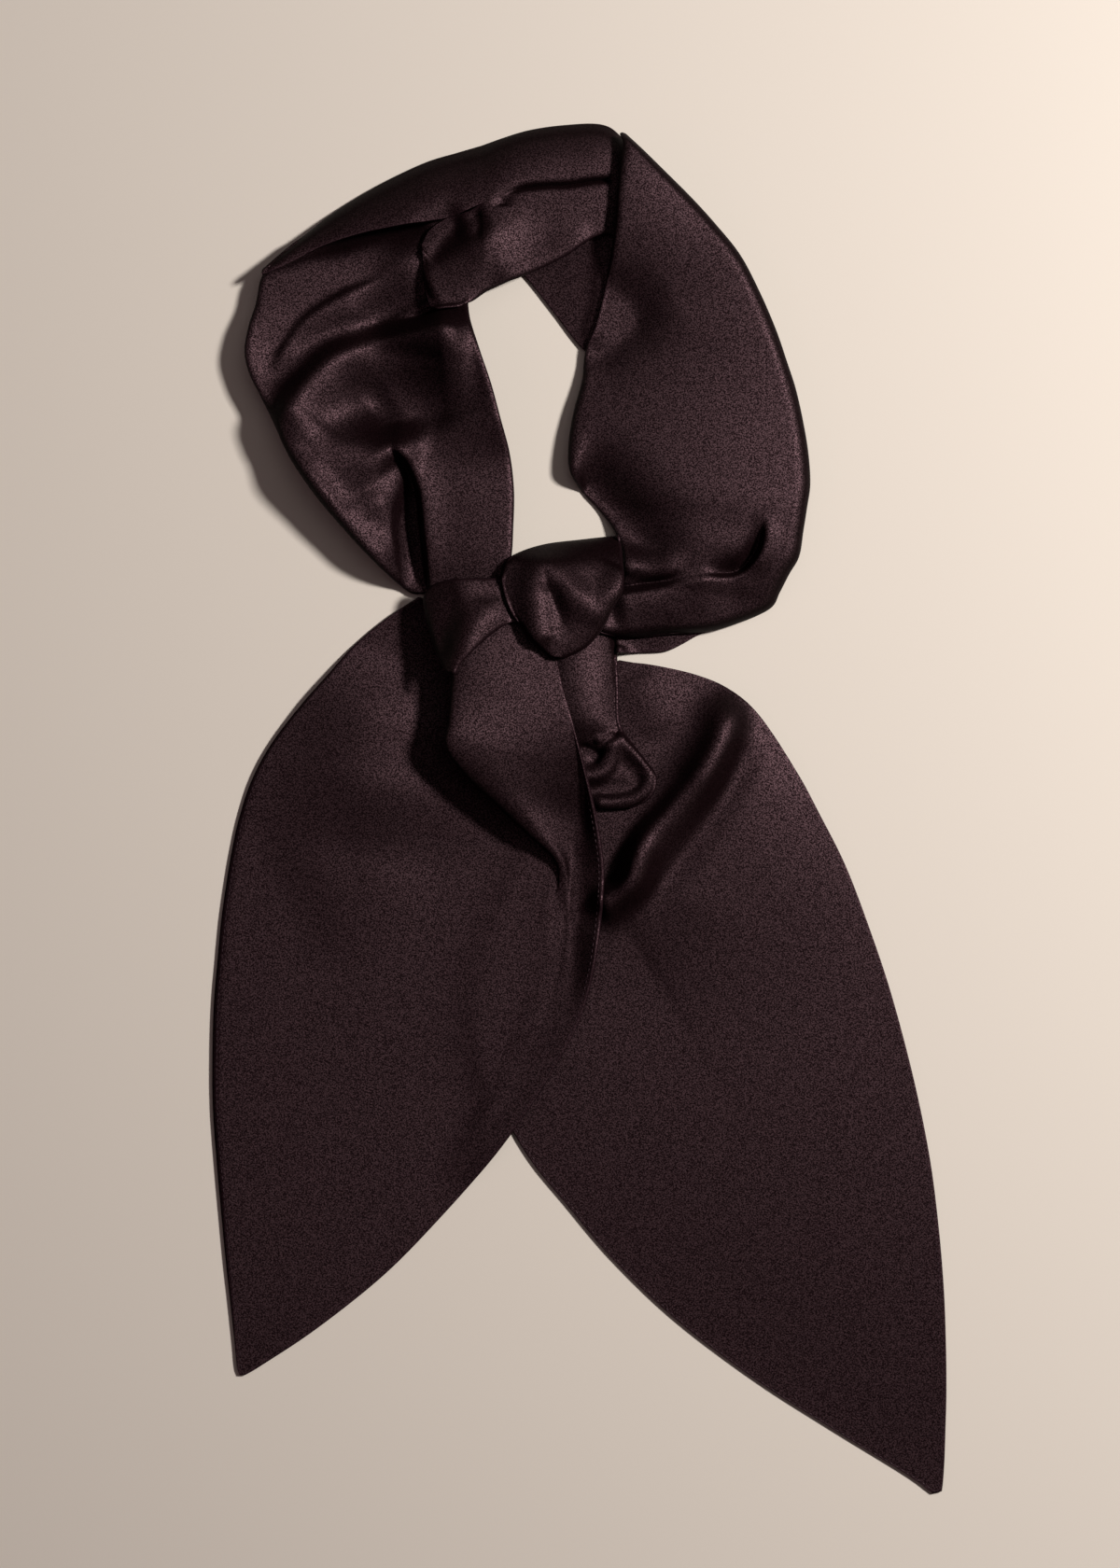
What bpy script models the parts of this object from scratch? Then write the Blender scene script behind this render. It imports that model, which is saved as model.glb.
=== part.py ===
"""Narrow satin neck scarf with leaf-shaped ends, tied in a ring and laid flat.

X runs to the right of the laid scarf, Y towards the ring, Z up from the table.
Tables are in millimetres. Heights are those of the middle of the cloth wall.
"""

import bmesh
import bpy
import numpy as np
from mathutils import Vector
from mathutils.bvhtree import BVHTree

# Driving sizes, in millimetres.
MM = 0.001
WALL = 1.6  # two layers of satin and the air between them, as one wall
SEAM_GAP = 0.45  # air left between a stretch and the one beneath it
TABLE_LIE = WALL / 2  # height of the wall's middle where it lies on the table
STACK = WALL + SEAM_GAP  # rise from one wall's middle to the next one above
HIGH_ABOVE = 200.0  # from where the stretches beneath are looked down on
DRAPE_ROUNDS = 4  # smoothing passes over the steps of what lies beneath
NUDGE = 2.0  # how far round each point the stretches beneath are felt for
STEEPEST = 0.45  # upright part of the steepest wall that is allowed for
MERGE = 0.00001  # metres
EDGE_CROWDING = 0.6  # how far a section's points are drawn towards its two edges
NO_ROLL = (0, 1)  # an edge that isn't rolled: drop and width
MIDDLE = np.array((0.29, 0.776, 0))  # middle of the whole outline in the tables

# ---------------------------------------------------------------- helpers


def catmull_rom(table, count):
    """The table's rows joined by a smooth curve, sampled `count` times."""
    rows = np.asarray(table, float)
    last = len(rows) - 1
    ghost = np.vstack([2 * rows[0] - rows[1], rows, 2 * rows[-1] - rows[-2]])
    places = np.linspace(0, last, count)
    cells = np.minimum(places.astype(int), last - 1)
    t = (places - cells)[:, None]
    before, start, end, after = (ghost[cells + i] for i in range(4))
    bend = 2 * before - 5 * start + 4 * end - after
    turn = 3 * start - before - 3 * end + after
    return 0.5 * (2 * start + (end - before) * t + bend * t**2 + turn * t**3)


def fold_field(plan, folds):
    """Sum of the folds' heights at plan points (n x 2)."""
    total = np.zeros(len(plan))
    for height, left_width, right_width, fade, path in folds:
        line = catmull_rom(path, 8 * len(path))
        start, step = line[:-1], np.diff(line, axis=0)
        length = (step**2).sum(axis=1)
        away = plan[:, None, :] - start[None]
        along = np.clip((away * step).sum(axis=2) / length, 0, 1)
        offset = away - along[:, :, None] * step
        distance = np.sqrt((offset**2).sum(axis=2))
        nearest = distance.argmin(axis=1)
        pick = np.arange(len(plan))
        travelled = (nearest + along[pick, nearest]) / len(step)
        side = (
            step[nearest, 0] * away[pick, nearest, 1]
            - step[nearest, 1] * away[pick, nearest, 0]
        )
        width = np.where(side > 0, left_width, right_width)
        from_end = np.minimum(travelled, 1 - travelled)
        fading = np.clip(from_end / fade, 0, 1) if fade > 0 else 1.0
        fading = fading * fading * (3 - 2 * fading)
        total += height * fading * np.exp(-((distance[pick, nearest] / width) ** 2))
    return total


def edge_fall(distance, drop, width):
    """How far a rolled edge has fallen at a distance in from it."""
    inside = np.clip(1 - distance / width, 0, 1)
    return drop * (1 - np.sqrt(np.maximum(0, 1 - inside**2)))


def ribbon(rows, along, across, left_roll, right_roll, arch_power=1.0):
    """Grid of points between the two edges of a table of sections.

    A row is left x, y, z, right x, y, z and the arch between them.
    A roll is its drop and its width in from that edge.
    """
    sections = catmull_rom(rows, along)
    left, right, arch = sections[:, 0:3], sections[:, 3:6], sections[:, 6]
    even = np.linspace(0, 1, across)
    place = even - EDGE_CROWDING * np.sin(2 * np.pi * even) / (2 * np.pi)
    grid = left[:, None, :] * (1 - place[None, :, None]) + right[:, None, :] * place[None, :, None]
    dome = (4 * place * (1 - place)) ** arch_power
    grid[:, :, 2] += arch[:, None] * dome[None, :]
    width = np.sqrt(((right - left)[:, :2] ** 2).sum(axis=1))
    for (drop, reach), distance in (
        (left_roll, place[None, :] * width[:, None]),
        (right_roll, (1 - place[None, :]) * width[:, None]),
    ):
        if drop:
            grid[:, :, 2] -= edge_fall(distance, drop, reach)
    return grid


def add_folds(grid, folds):
    grid[:, :, 2] += fold_field(grid[:, :, :2].reshape(-1, 2), folds).reshape(grid.shape[:2])
    return grid


def faces_of(rows, columns, first=0):
    """Quads of a grid, facing up where its rows run down the page."""
    quads = []
    for row in range(rows - 1):
        for column in range(columns - 1):
            corner = first + row * columns + column
            quads.append((corner, corner + columns, corner + columns + 1, corner + 1))
    return quads


def beside(values, missing):
    """Gives each missing value of a grid the largest of the values round it."""
    rows, columns = values.shape
    padded = np.pad(np.where(missing, -np.inf, values), 1, constant_values=-np.inf)
    around = [padded[i:i + rows, k:k + columns] for i in range(3) for k in range(3)]
    nearby = np.max(around, axis=0)
    return np.where(missing & np.isfinite(nearby), nearby, values)


def drape(grid, beneath):
    """Lifts a grid clear of the stretches beneath it, and of the table."""
    least = np.full(grid.shape[:2], TABLE_LIE)
    missing = np.full(grid.shape[:2], True)
    down = Vector((0, 0, -1))
    turns = np.arange(8) * np.pi / 4
    nudges = [(0, 0), *zip(NUDGE * np.cos(turns), NUDGE * np.sin(turns))]
    for points, quads in beneath:
        tree = BVHTree.FromPolygons([Vector(point) for point in points], quads)
        for place in np.ndindex(grid.shape[:2]):
            x, y = grid[place][:2]
            for side_x, side_y in nudges:
                hit = tree.ray_cast(Vector((x + side_x, y + side_y, HIGH_ABOVE)), down)
                if hit[0] is not None:
                    slope = max(STEEPEST, abs(hit[1].z))
                    least[place] = max(least[place], hit[0].z + STACK / slope)
                    missing[place] = False
    least = beside(least, missing)
    lift = np.maximum(least - grid[:, :, 2], 0)
    for _ in range(DRAPE_ROUNDS):
        padded = np.pad(lift, 1, mode="edge")
        near = padded[:-2, 1:-1] + padded[2:, 1:-1] + padded[1:-1, :-2] + padded[1:-1, 2:]
        lift = np.maximum(0.5 * lift + near / 8, np.maximum(least - grid[:, :, 2], 0))
    grid[:, :, 2] += lift
    return grid


def surface(grid):
    """Points and quads of one grid, as the stretches above need them."""
    return grid.reshape(-1, 3), faces_of(*grid.shape[:2])


def add_node(name, grids, colour):
    """One object: open grids joined where they share points, then thickened."""
    mesh = bpy.data.meshes.new(name)
    points, quads = [], []
    for grid in grids:
        quads += faces_of(*grid.shape[:2], first=len(points))
        points += [tuple(point) for point in (grid.reshape(-1, 3) - MIDDLE) * MM]
    mesh.from_pydata(points, [], quads)
    work = bmesh.new()
    work.from_mesh(mesh)
    bmesh.ops.remove_doubles(work, verts=work.verts, dist=MERGE)
    for face in work.faces:
        face.smooth = True
    work.to_mesh(mesh)
    work.free()
    obj = bpy.data.objects.new(name, mesh)
    SCARF.objects.link(obj)
    cloth = bpy.data.materials.new(name + "_satin")
    cloth.use_nodes = True
    shader = cloth.node_tree.nodes["Principled BSDF"]
    shader.inputs["Base Color"].default_value = (*colour, 1)
    shader.inputs["Roughness"].default_value = 0.45
    mesh.materials.append(cloth)
    wall = obj.modifiers.new("wall", "SOLIDIFY")
    wall.thickness = WALL * MM
    wall.offset = 0
    return obj


for old in list(bpy.data.objects):
    bpy.data.objects.remove(old)
SCARF = bpy.data.collections.new("silk_scarf")
bpy.context.scene.collection.children.link(SCARF)
PLUM = (0.030, 0.016, 0.020)

# ---------------------------------------------------------------- right tail
# The end that lies lowest: a leaf-shaped panel flat on the table, its left side
# hidden under the left tail. Each row is a section, from the knot to the tip.

TAIL_RIGHT_EDGES = (
    # left x, y, z, right x, y, z, arch
    (8, 58, 1, 16.7, 61.6, 3, 0),
    (6, 50, 1, 32.5, 59.3, 3, 1),
    (4, 42, 1, 49.1, 55.4, 2.5, 2),
    (1, 32, 1, 62, 49.5, 2, 2.5),
    (-3, 20, 1, 75, 38, 1.5, 2.5),
    (-9, 5, 1, 89.9, 15.4, 1, 3),
    (-17, -12, 0.8, 99.1, -1.5, 0.8, 3),
    (-26, -32, 0.8, 110, -23, 0.8, 2.2),
    (-34, -54, 0.8, 120, -49, 0.8, 1),
    (-38.5, -78, 0.8, 129, -76, 0.8, 0),
    (-37, -102, 0.8, 138, -110, 0.8, 0),
    (-30, -126, 0.8, 144.6, -142, 0.8, 0),
    (-19.8, -144.4, 0.8, 148.3, -170, 0.8, 0),
    (-5, -162.6, 0.8, 150.6, -197, 0.8, 0),
    (14, -185, 0.8, 151.5, -220, 0.8, 0),
    (40, -210, 0.8, 151.7, -240, 0.8, 0),
    (73, -234.9, 0.8, 151.3, -256, 0.8, 0),
    (105, -255.4, 0.8, 150.9, -268, 0.8, 0),
    (135, -273.8, 0.8, 150.3, -277, 0.8, 0),
    (146, -281.8, 0.8, 149.8, -281, 0.8, 0),
)
TAIL_RIGHT_FOLDS = (
    # height, width to its left, width to its right, fade, path
    (13, 5, 5, 0.14, ((5, -39.5), (11, -36), (18, -31), (22, -25), (25, -16), (30, -8), (40, 3),
     (50, 16))),
    (12, 12, 5, 0.3, ((36, -1), (45, 10), (54, 23), (60, 35), (66, 52))),
    (-4, 6, 5, 0.25, ((4, -50), (22, -38), (35, -22), (49, -3), (58, 10), (68, 32))),
    (5, 5, 18, 0.3, ((18, -52), (34, -40), (48, -20), (62, 2), (76, 24))),
    (-3, 7, 6, 0.3, ((14, 0), (15.5, -14), (14, -30))),
)
tail_right = ribbon(TAIL_RIGHT_EDGES, along=39, across=16, left_roll=NO_ROLL, right_roll=NO_ROLL)
tail_right = drape(add_folds(tail_right, TAIL_RIGHT_FOLDS), [])
add_node("tail_right", [tail_right], PLUM)

# The same end where it comes from under the knot: a gathered stem that opens
# in a puckered pocket over the panel.

STEM_EDGES = (
    # left x, y, z, right x, y, z, arch
    (-8, 76, 4, 13, 76, 4, 7),
    (-9, 64, 4, 15.2, 64, 4, 8),
    (-9, 50, 4, 15.8, 50, 4, 8),
    (-9, 38, 3.5, 16.4, 36, 4, 7),
    (-8, 29, 3, 20, 29.5, 4, 3),
    (-7, 22, 3, 27, 20.5, 4, 0),
    (-5, 15, 3, 31.5, 13.5, 4, 0),
    (-2, 8, 3, 29.5, 6, 4, 0),
    (2, 3.5, 3, 22, 1.5, 3.5, 0),
    (6, 1.5, 3, 14, 0.6, 3, 0),
)
STEM_FOLDS = (
    # height, width to its left, width to its right, fade, path
    (6, 3.2, 3.6, 0.08, ((15.5, 34), (20, 28.5), (25, 22), (28.6, 16), (28.2, 10), (24, 5.6),
     (16, 3.8), (4, 4.2))),
    (5.5, 3.2, 3.2, 0.12, ((12, 32), (15.5, 26), (14.5, 19), (10, 14.6), (4, 13.4), (-3, 14.5))),
)
stem = ribbon(STEM_EDGES, along=19, across=11, left_roll=NO_ROLL, right_roll=(3, 4))
stem = drape(add_folds(stem, STEM_FOLDS), [surface(tail_right)])
add_node("tail_right_stem", [stem], PLUM)

# ---------------------------------------------------------------- ring, under layers
# The ring's cloth turns over itself at the upper right: this is the inner side
# of that turn, flat on the table.

TOP_UNDER_EDGES = (
    # left x, y, z, right x, y, z, arch
    (-30, 226, 0.8, -14, 262, 1.5, 0),
    (-22, 220, 0.8, 2, 262, 3, 0),
    (-10, 205, 0.8, 22, 252, 6, 0),
    (1, 191, 1, 42, 238, 7, 0),
    (14, 180, 1, 56, 222, 6, 0),
    (26, 174, 1, 62, 208, 4, 0),
)
TOP_UNDER_FOLDS = (
    # height, width to its left, width to its right, fade, path
    (4, 4, 9, 0.2, ((2, 188), (5.5, 200), (8.5, 212), (9, 226), (8, 236))),
)
top_under = ribbon(TOP_UNDER_EDGES, along=8, across=6, left_roll=NO_ROLL, right_roll=NO_ROLL)
top_under = drape(add_folds(top_under, TOP_UNDER_FOLDS), [])
add_node("band_top_under", [top_under], PLUM)

# The lower layer of the strip that goes back to the knot.

RETURN_UNDER_EDGES = (
    # left x, y, z, right x, y, z, arch
    (58, 76, 1, 58, 83, 1, 0),
    (48.5, 71.8, 1, 49, 82, 1, 0),
    (42.5, 68.4, 1.2, 42, 82, 1.5, 0),
    (36, 65.6, 1.5, 35, 82, 2, 0),
    (26, 65, 2, 25, 82, 2.5, 0),
    (15.6, 64.7, 3, 12.5, 79, 3.5, 0),
)
return_under = ribbon(RETURN_UNDER_EDGES, along=8, across=4, left_roll=NO_ROLL, right_roll=NO_ROLL)
return_under = drape(return_under, [surface(tail_right), surface(stem)])
add_node("band_return_under", [return_under], PLUM)

# ---------------------------------------------------------------- ring, left side
# From under the top of the ring down to the knot, its outer edge lifted.

BAND_LEFT_EDGES = (
    # left x, y, z, right x, y, z, arch
    (-117, 231.5, 5, -42, 259, 1.5, 0),
    (-125, 224.5, 6, -42.5, 250, 1.5, 0),
    (-129.9, 218.5, 7, -43, 241, 1.5, 1),
    (-132, 208, 9, -45, 229, 5, 4),
    (-135, 198, 11, -46, 216, 8, 6),
    (-136.5, 188, 12, -45.2, 202, 11, 6),
    (-134.5, 179, 12, -41, 188, 12, 4),
    (-130.3, 170.6, 12, -36.4, 174.4, 12, 2),
    (-124.5, 159, 12, -32.5, 160, 11.5, 0),
    (-118, 145, 12, -28.8, 146, 11, 0),
    (-108, 130, 12, -27.1, 131, 10.5, 0.5),
    (-95, 114.5, 11, -27.4, 116, 10.5, 1),
    (-81, 99.8, 9, -28.2, 104, 10.5, 2),
    (-70, 90.6, 6, -31, 96, 10.5, 3),
    (-64, 89.6, 5, -34, 91, 10, 3),
)
BAND_LEFT_FOLDS = (
    # height, width to its left, width to its right, fade, path
    (-2.6, 4, 4, 0.2, ((-128, 177), (-121.5, 190), (-112, 202.5), (-97, 212), (-80, 219), (-68, 226))),
    (2.2, 4, 6, 0.25, ((-119, 188), (-109, 200), (-95, 207), (-80, 213), (-66, 216))),
    (-10, 10.5, 4, 0.15, ((-129, 162), (-120, 168), (-112, 178.5), (-104, 185.5), (-92, 188.5),
     (-78, 190.5), (-68, 195), (-52, 201))),
    (-11, 13.5, 5, 0.22, ((-114, 138), (-106, 145), (-94, 149.5), (-80, 152), (-66, 154), (-52, 162))),
    (-7, 9, 15, 0.3, ((-57, 148), (-63, 166), (-64, 184), (-58, 206))),
    (4, 5, 8, 0.25, ((-63, 128), (-69, 142), (-79, 148), (-92, 141), (-103, 130))),
    (-11, 17, 4, 0.12, ((-61.5, 87), (-63.5, 100), (-64.8, 115), (-66.5, 130), (-70.5, 141),
     (-78, 149.5))),
    (-2.5, 4, 5, 0.3, ((-84, 106), (-91, 117), (-97, 127))),
)
band_left = ribbon(BAND_LEFT_EDGES, along=36, across=22, left_roll=(3, 4), right_roll=(1.2, 2))
band_left = drape(add_folds(band_left, BAND_LEFT_FOLDS), [])
add_node("band_left", [band_left], PLUM)

# ---------------------------------------------------------------- ring, top side
# Pleated along its length in an outer and an inner strip, joined by a saddle.
# Left of the saddle the outer strip runs on to the corner, and the inner one
# ends in a short lobe. All three share the points of the saddle's section.

SADDLE_OUTER = (-40, 273.5, 3.5)
SADDLE_VALLEY = (-39, 248.5, 12)
SADDLE_INNER = (-38.3, 212.9, 8)
TOP_OUTER_EDGES = (
    # valley x, y, z, outline x, y, z, arch
    (34, 252, 8, 28, 264, 6, 2),
    (20, 257, 10, 17, 277.5, 5, 4),
    (8, 258.5, 10, 9, 282.3, 4, 6),
    (-6, 256.5, 10, -6, 282, 4, 6),
    (-20, 255, 10, -20, 280, 3.5, 5.5),
    (-31, 251, 11, -31, 276.7, 3.5, 5),
    (*SADDLE_VALLEY, *SADDLE_OUTER, 4.5),
)
TOP_LEFT_EDGES = (
    (*SADDLE_VALLEY, *SADDLE_OUTER, 4.5),
    (-50, 243.8, 13.5, -50, 270.6, 3.5, 4),
    (-62, 241.3, 14, -62, 267, 3.5, 3.5),
    (-76, 238.8, 14, -76, 260.6, 3.5, 3),
    (-91, 235.6, 13.5, -89, 253.5, 4, 2.5),
    (-105, 231, 12.5, -102, 245, 5, 2),
    (-117, 225, 12, -114, 235.1, 6, 1.5),
    (-127, 220.4, 11, -124, 226.5, 8, 0.5),
    (-129.8, 219.6, 10, -129.2, 221.8, 9, 0),
)
TOP_INNER_EDGES = (
    # inner edge x, y, z, valley x, y, z, arch
    (36, 238, 5, 34, 252, 8, 2),
    (20, 236, 5, 20, 257, 10, 5),
    (8, 236.5, 6, 8, 258.5, 10, 5),
    (-6, 227.6, 7, -6, 256.5, 10, 4),
    (-20, 220.6, 7.5, -20, 255, 10, 4),
    (-30, 216.6, 8, -31, 251, 11, 3.5),
    (*SADDLE_INNER, *SADDLE_VALLEY, 3),
)
TOP_LOBE_EDGES = (
    (*SADDLE_INNER, *SADDLE_VALLEY, 3),
    (-47.2, 206.7, 8, -45.5, 241, 8, 3),
    (-54, 205.2, 8, -52.5, 237, 4.5, 3),
    (-59.8, 205.5, 8, -60.5, 232, 4, 3),
    (-62.5, 212, 7, -63.2, 228, 4, 1.5),
)
TOP_FOLDS = (
    # height, width to its left, width to its right, fade, path
    (-5, 3.5, 3, 0.12, ((16, 259), (6, 258.3), (-4, 256.4), (-14, 255.2), (-24, 254.6), (-33, 249))),
    (-4, 3, 3, 0.4, ((-26, 252.5), (-30, 249.5), (-33, 245))),
    (3.5, 3.5, 9, 0.2, ((-65, 215), (-56, 220), (-46, 226.5), (-38, 232), (-29, 237))),
    (-4.5, 3, 3, 0.3, ((-43, 248), (-40.5, 242), (-40.8, 236), (-43.5, 230.5))),
    (3.2, 3, 3, 0.3, ((-49, 246), (-46, 240), (-45.6, 234), (-48, 228))),
    (2.2, 4, 3, 0.3, ((-39, 250), (-35.5, 244), (-35.2, 238), (-38, 232))),
)
OUTER_COLUMNS = 7
INNER_COLUMNS = 8
under_top = [surface(band_left), surface(top_under)]
top_outer = ribbon(TOP_OUTER_EDGES, along=11, across=OUTER_COLUMNS, left_roll=NO_ROLL, right_roll=(4, 7))
top_left = ribbon(TOP_LEFT_EDGES, along=14, across=OUTER_COLUMNS, left_roll=NO_ROLL, right_roll=(4, 7))
top_inner = ribbon(TOP_INNER_EDGES, along=11, across=INNER_COLUMNS, left_roll=(3, 5), right_roll=NO_ROLL)
top_lobe = ribbon(TOP_LOBE_EDGES, along=8, across=INNER_COLUMNS, left_roll=(3, 5), right_roll=NO_ROLL)
top_whole = np.concatenate([top_inner, top_outer[:, 1:]], axis=1)
top_whole = drape(add_folds(top_whole, TOP_FOLDS), under_top)
top_left = drape(add_folds(top_left, TOP_FOLDS), under_top)
top_lobe = drape(add_folds(top_lobe, TOP_FOLDS), under_top)
top_left[0] = top_whole[-1, INNER_COLUMNS - 1:]
top_lobe[0] = top_whole[-1, :INNER_COLUMNS]
add_node("band_top", [top_whole, top_left, top_lobe], PLUM)

# ---------------------------------------------------------------- ring, right side
# Laid over the top side, down the right and round the lower corner, where a
# deep pleat opens, then back to the knot.

BAND_RIGHT_EDGES = (
    # inner x, y, z, outer x, y, z, arch
    (17.5, 277.5, 13, 19.5, 277, 12, 0),
    (18.7, 272, 16, 27, 269.6, 11, 1),
    (17.3, 263, 17, 36, 260.7, 10, 2),
    (16.2, 252, 17.5, 46.4, 250.3, 10, 3),
    (15.4, 240, 17, 56, 239.7, 9, 4),
    (13.6, 227, 16, 66, 227.2, 10, 5),
    (11, 214, 13, 74, 212, 9, 6),
    (7.4, 200, 10, 80.5, 197, 9, 6),
    (3.3, 189, 8, 85, 184, 9, 6),
    (2, 177, 7, 88.7, 172.5, 10, 6),
    (-1.3, 164.8, 7, 91.8, 158.5, 11, 5),
    (-3.5, 152, 8, 93.8, 146, 12, 5),
    (-3.3, 140, 10, 94.5, 134, 13, 4),
    (1.5, 132, 11, 93.2, 124.5, 13, 4),
    (8.5, 124.5, 12, 91.7, 115, 13, 3),
    (14.8, 116, 13, 90, 104.5, 13, 2),
    (18.4, 107, 13, 86, 97.3, 12, 1),
    (18.8, 100, 11, 82.3, 90, 10, 1),
    (18.5, 96.2, 8, 78.5, 83.5, 9, 1),
    (18, 93.8, 6, 66, 77.8, 8, 1),
    (17, 91.8, 6, 53, 74.2, 7, 1),
    (14, 90, 6, 36, 72.8, 7, 1),
    (8, 88, 6, 22, 71.4, 7, 0.5),
    (1, 86, 6, 11, 72.5, 7, 0),
    (-5, 85, 6, 3, 75, 7, 0),
)
BAND_RIGHT_FOLDS = (
    # height, width to its left, width to its right, fade, path
    (3, 14, 9, 0.3, ((16, 222), (32, 227), (48, 232), (62, 236))),
    (-6, 13, 16, 0.25, ((4, 186), (20, 194), (36, 200), (56, 212))),
    (-10, 12, 6, 0.2, ((-2, 138), (7, 141), (15, 136), (21, 125), (29, 113), (38, 103.5), (48, 97.5))),
    (4, 6, 4.5, 0.25, ((16, 108), (25, 104), (34, 101), (48, 98.3))),
    (-4.5, 4.5, 4.5, 0.2, ((13, 92), (22, 94), (34, 95.6), (48, 97.2), (58, 97.6))),
    (-10, 4.5, 9, 0.22, ((78, 128), (78.4, 117), (77, 108.5), (72.5, 101.5), (65, 98), (52, 97))),
)
band_right = ribbon(BAND_RIGHT_EDGES, along=42, across=16, left_roll=(2.5, 4), right_roll=(5, 9))
band_right = add_folds(band_right, BAND_RIGHT_FOLDS)
under_right = [
    (top_whole.reshape(-1, 3), faces_of(*top_whole.shape[:2])),
    surface(top_under),
    surface(return_under),
    surface(stem),
]
band_right = drape(band_right, under_right)
add_node("band_right", [band_right], PLUM)

# ---------------------------------------------------------------- left tail
# The upper end. It leaves the knot with a deep pleat: the panel passes under a
# flap, turns back, and turns again at the flap's edge. The pleat dies out
# half-way down the right edge, and the rest lies flat.

TAIL_LEFT_OUTLINE = (
    # left x, y, z, right x, y, z
    (-66, 87.5, 3, -14, 80, 16),
    (-78, 80, 1.6, -11.5, 70, 16.5),
    (-92, 68.5, 0.8, -8.9, 60, 17),
    (-104, 55, 0.8, -6.5, 49, 17),
    (-115, 42.5, 0.8, -3, 37, 17),
    (-126.5, 27.5, 0.8, 0.4, 24.5, 17),
    (-134.5, 13, 0.8, 3.6, 12, 16.5),
    (-140, -3, 0.8, 6.8, -1.5, 16),
    (-143.3, -18, 0.8, 9, -14, 15.5),
    (-145.6, -32, 0.8, 10.2, -24.5, 14.5),
    (-147.5, -46, 0.8, 9.8, -35.4, 12),
    (-149, -62, 0.8, 8.4, -50, 8),
    (-150.5, -80, 0.8, 5.5, -68, 4.6),
    (-151.1, -101, 0.8, 0.5, -86, 3.4),
    (-150.9, -123, 0.8, -8.5, -103.5, 3),
    (-149.2, -146.7, 0.8, -20, -122, 3),
    (-147.3, -168, 0.8, -36, -144, 1.2),
    (-145.5, -187, 0.8, -56, -167, 0.8),
    (-143.7, -203, 0.8, -80, -191.5, 0.8),
    (-142, -219, 0.8, -108, -213.9, 0.8),
    (-141, -229.5, 0.8, -131, -229.2, 0.8),
    (-139.9, -233, 0.8, -137.4, -233, 0.8),
)
TAIL_LEFT_PLEAT = (
    # hidden turn x, y, z, flap edge x, y, z, crest height, trough x, y, z
    (-45, 84, 4, -52, 81, 11, 15, -22, 82, 16),
    (-42, 73, 3, -52, 68, 14, 19, -17, 72, 17.5),
    (-39, 63, 3, -51.5, 57, 15.5, 20, -13, 62, 18),
    (-36, 52, 3, -51.8, 48, 16, 20.5, -10.5, 50, 17.8),
    (-34, 40, 3, -52.6, 37, 16.5, 21, -7.5, 37, 17.5),
    (-32, 27, 3, -53.7, 26, 16, 20.5, -4, 25, 16),
    (-26, 14, 3, -46.5, 15, 14.5, 19, -0.8, 12, 12.5),
    (-15, 1, 3, -34, 3, 12.5, 16.5, 2, -1, 8),
    (-6, -12, 3, -20.5, -9.8, 10, 13, 3.8, -12.5, 5.5),
    (-5, -24, 3, -9.6, -20.5, 7, 8.5, 5, -23, 4.8),
    (-9, -35, 2.9, -5, -32, 4.6, 5, 4.8, -34.5, 4.2),
    (-11, -49, 2.8, -3, -47, 3.4, 3.4, 4.2, -49, 3.5),
    (-14, -67, 2.8, -7, -66, 2.9, 2.9, 1, -67, 2.9),
)
TAIL_LEFT_FOLDS = (
    # height, width to its left, width to its right, fade, path
    (2.5, 30, 34, 0.4, ((-128, -30), (-95, -18), (-55, -20))),
    (1.5, 20, 20, 0.4, ((-120, 20), (-95, 45), (-75, 62))),
)
FLAT_FRACTIONS = (0.86, 0.9, 0.93, 0.96)  # where the same stations lie lower down
PANEL_FRACTIONS = (0.33, 0.66, 0.9)  # of the way from the left edge to the turn
CREST_FRACTION = 0.3  # of the way from the flap's edge to the trough
STATION_STEPS = (2, 2, 2, 2, 2, 2, 3, 2)


def tail_left_sections():
    """One row of stations a section: the pleat's own, or evenly laid ones."""
    sections = []
    for number, outline in enumerate(TAIL_LEFT_OUTLINE):
        left, right = np.array(outline[:3]), np.array(outline[3:])
        if number < len(TAIL_LEFT_PLEAT):
            pleat = TAIL_LEFT_PLEAT[number]
            turn, edge, trough = np.array(pleat[:3]), np.array(pleat[3:6]), np.array(pleat[7:])
            crest = edge + CREST_FRACTION * (trough - edge)
            crest[2] = pleat[6]
        else:
            turn, edge, crest, trough = (
                left + fraction * (right - left) for fraction in FLAT_FRACTIONS
            )
        inner = [left + fraction * (turn - left) for fraction in PANEL_FRACTIONS]
        for point in inner:
            point[2] = TABLE_LIE
        sections.append([left, *inner, turn, edge, crest, trough, right])
    return np.array(sections)


def loft_stations(sections, along, steps):
    """Smooth down each station, then smooth across the stations."""
    count = sections.shape[1]
    lines = np.stack([catmull_rom(sections[:, i], along) for i in range(count)], axis=1)
    even = np.concatenate(
        [np.arange(step) / step + number for number, step in enumerate(steps)] + [[count - 1]]
    )
    fine = 12  # samples between two stations, before the even ones are read off
    rows = []
    for line in lines:
        dense = catmull_rom(line, fine * (count - 1) + 1)
        rows.append([np.interp(even * fine, np.arange(len(dense)), dense[:, k]) for k in range(3)])
    return np.array(rows).transpose(0, 2, 1)


tail_left = loft_stations(tail_left_sections(), 38, STATION_STEPS)
tail_left = add_folds(tail_left, TAIL_LEFT_FOLDS)
tail_left = drape(tail_left, [surface(tail_right), surface(stem)])
add_node("tail_left", [tail_left], PLUM)

# ---------------------------------------------------------------- knot, left loop
# The cuff that holds the left tail and the end of the ring's left side.

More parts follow.
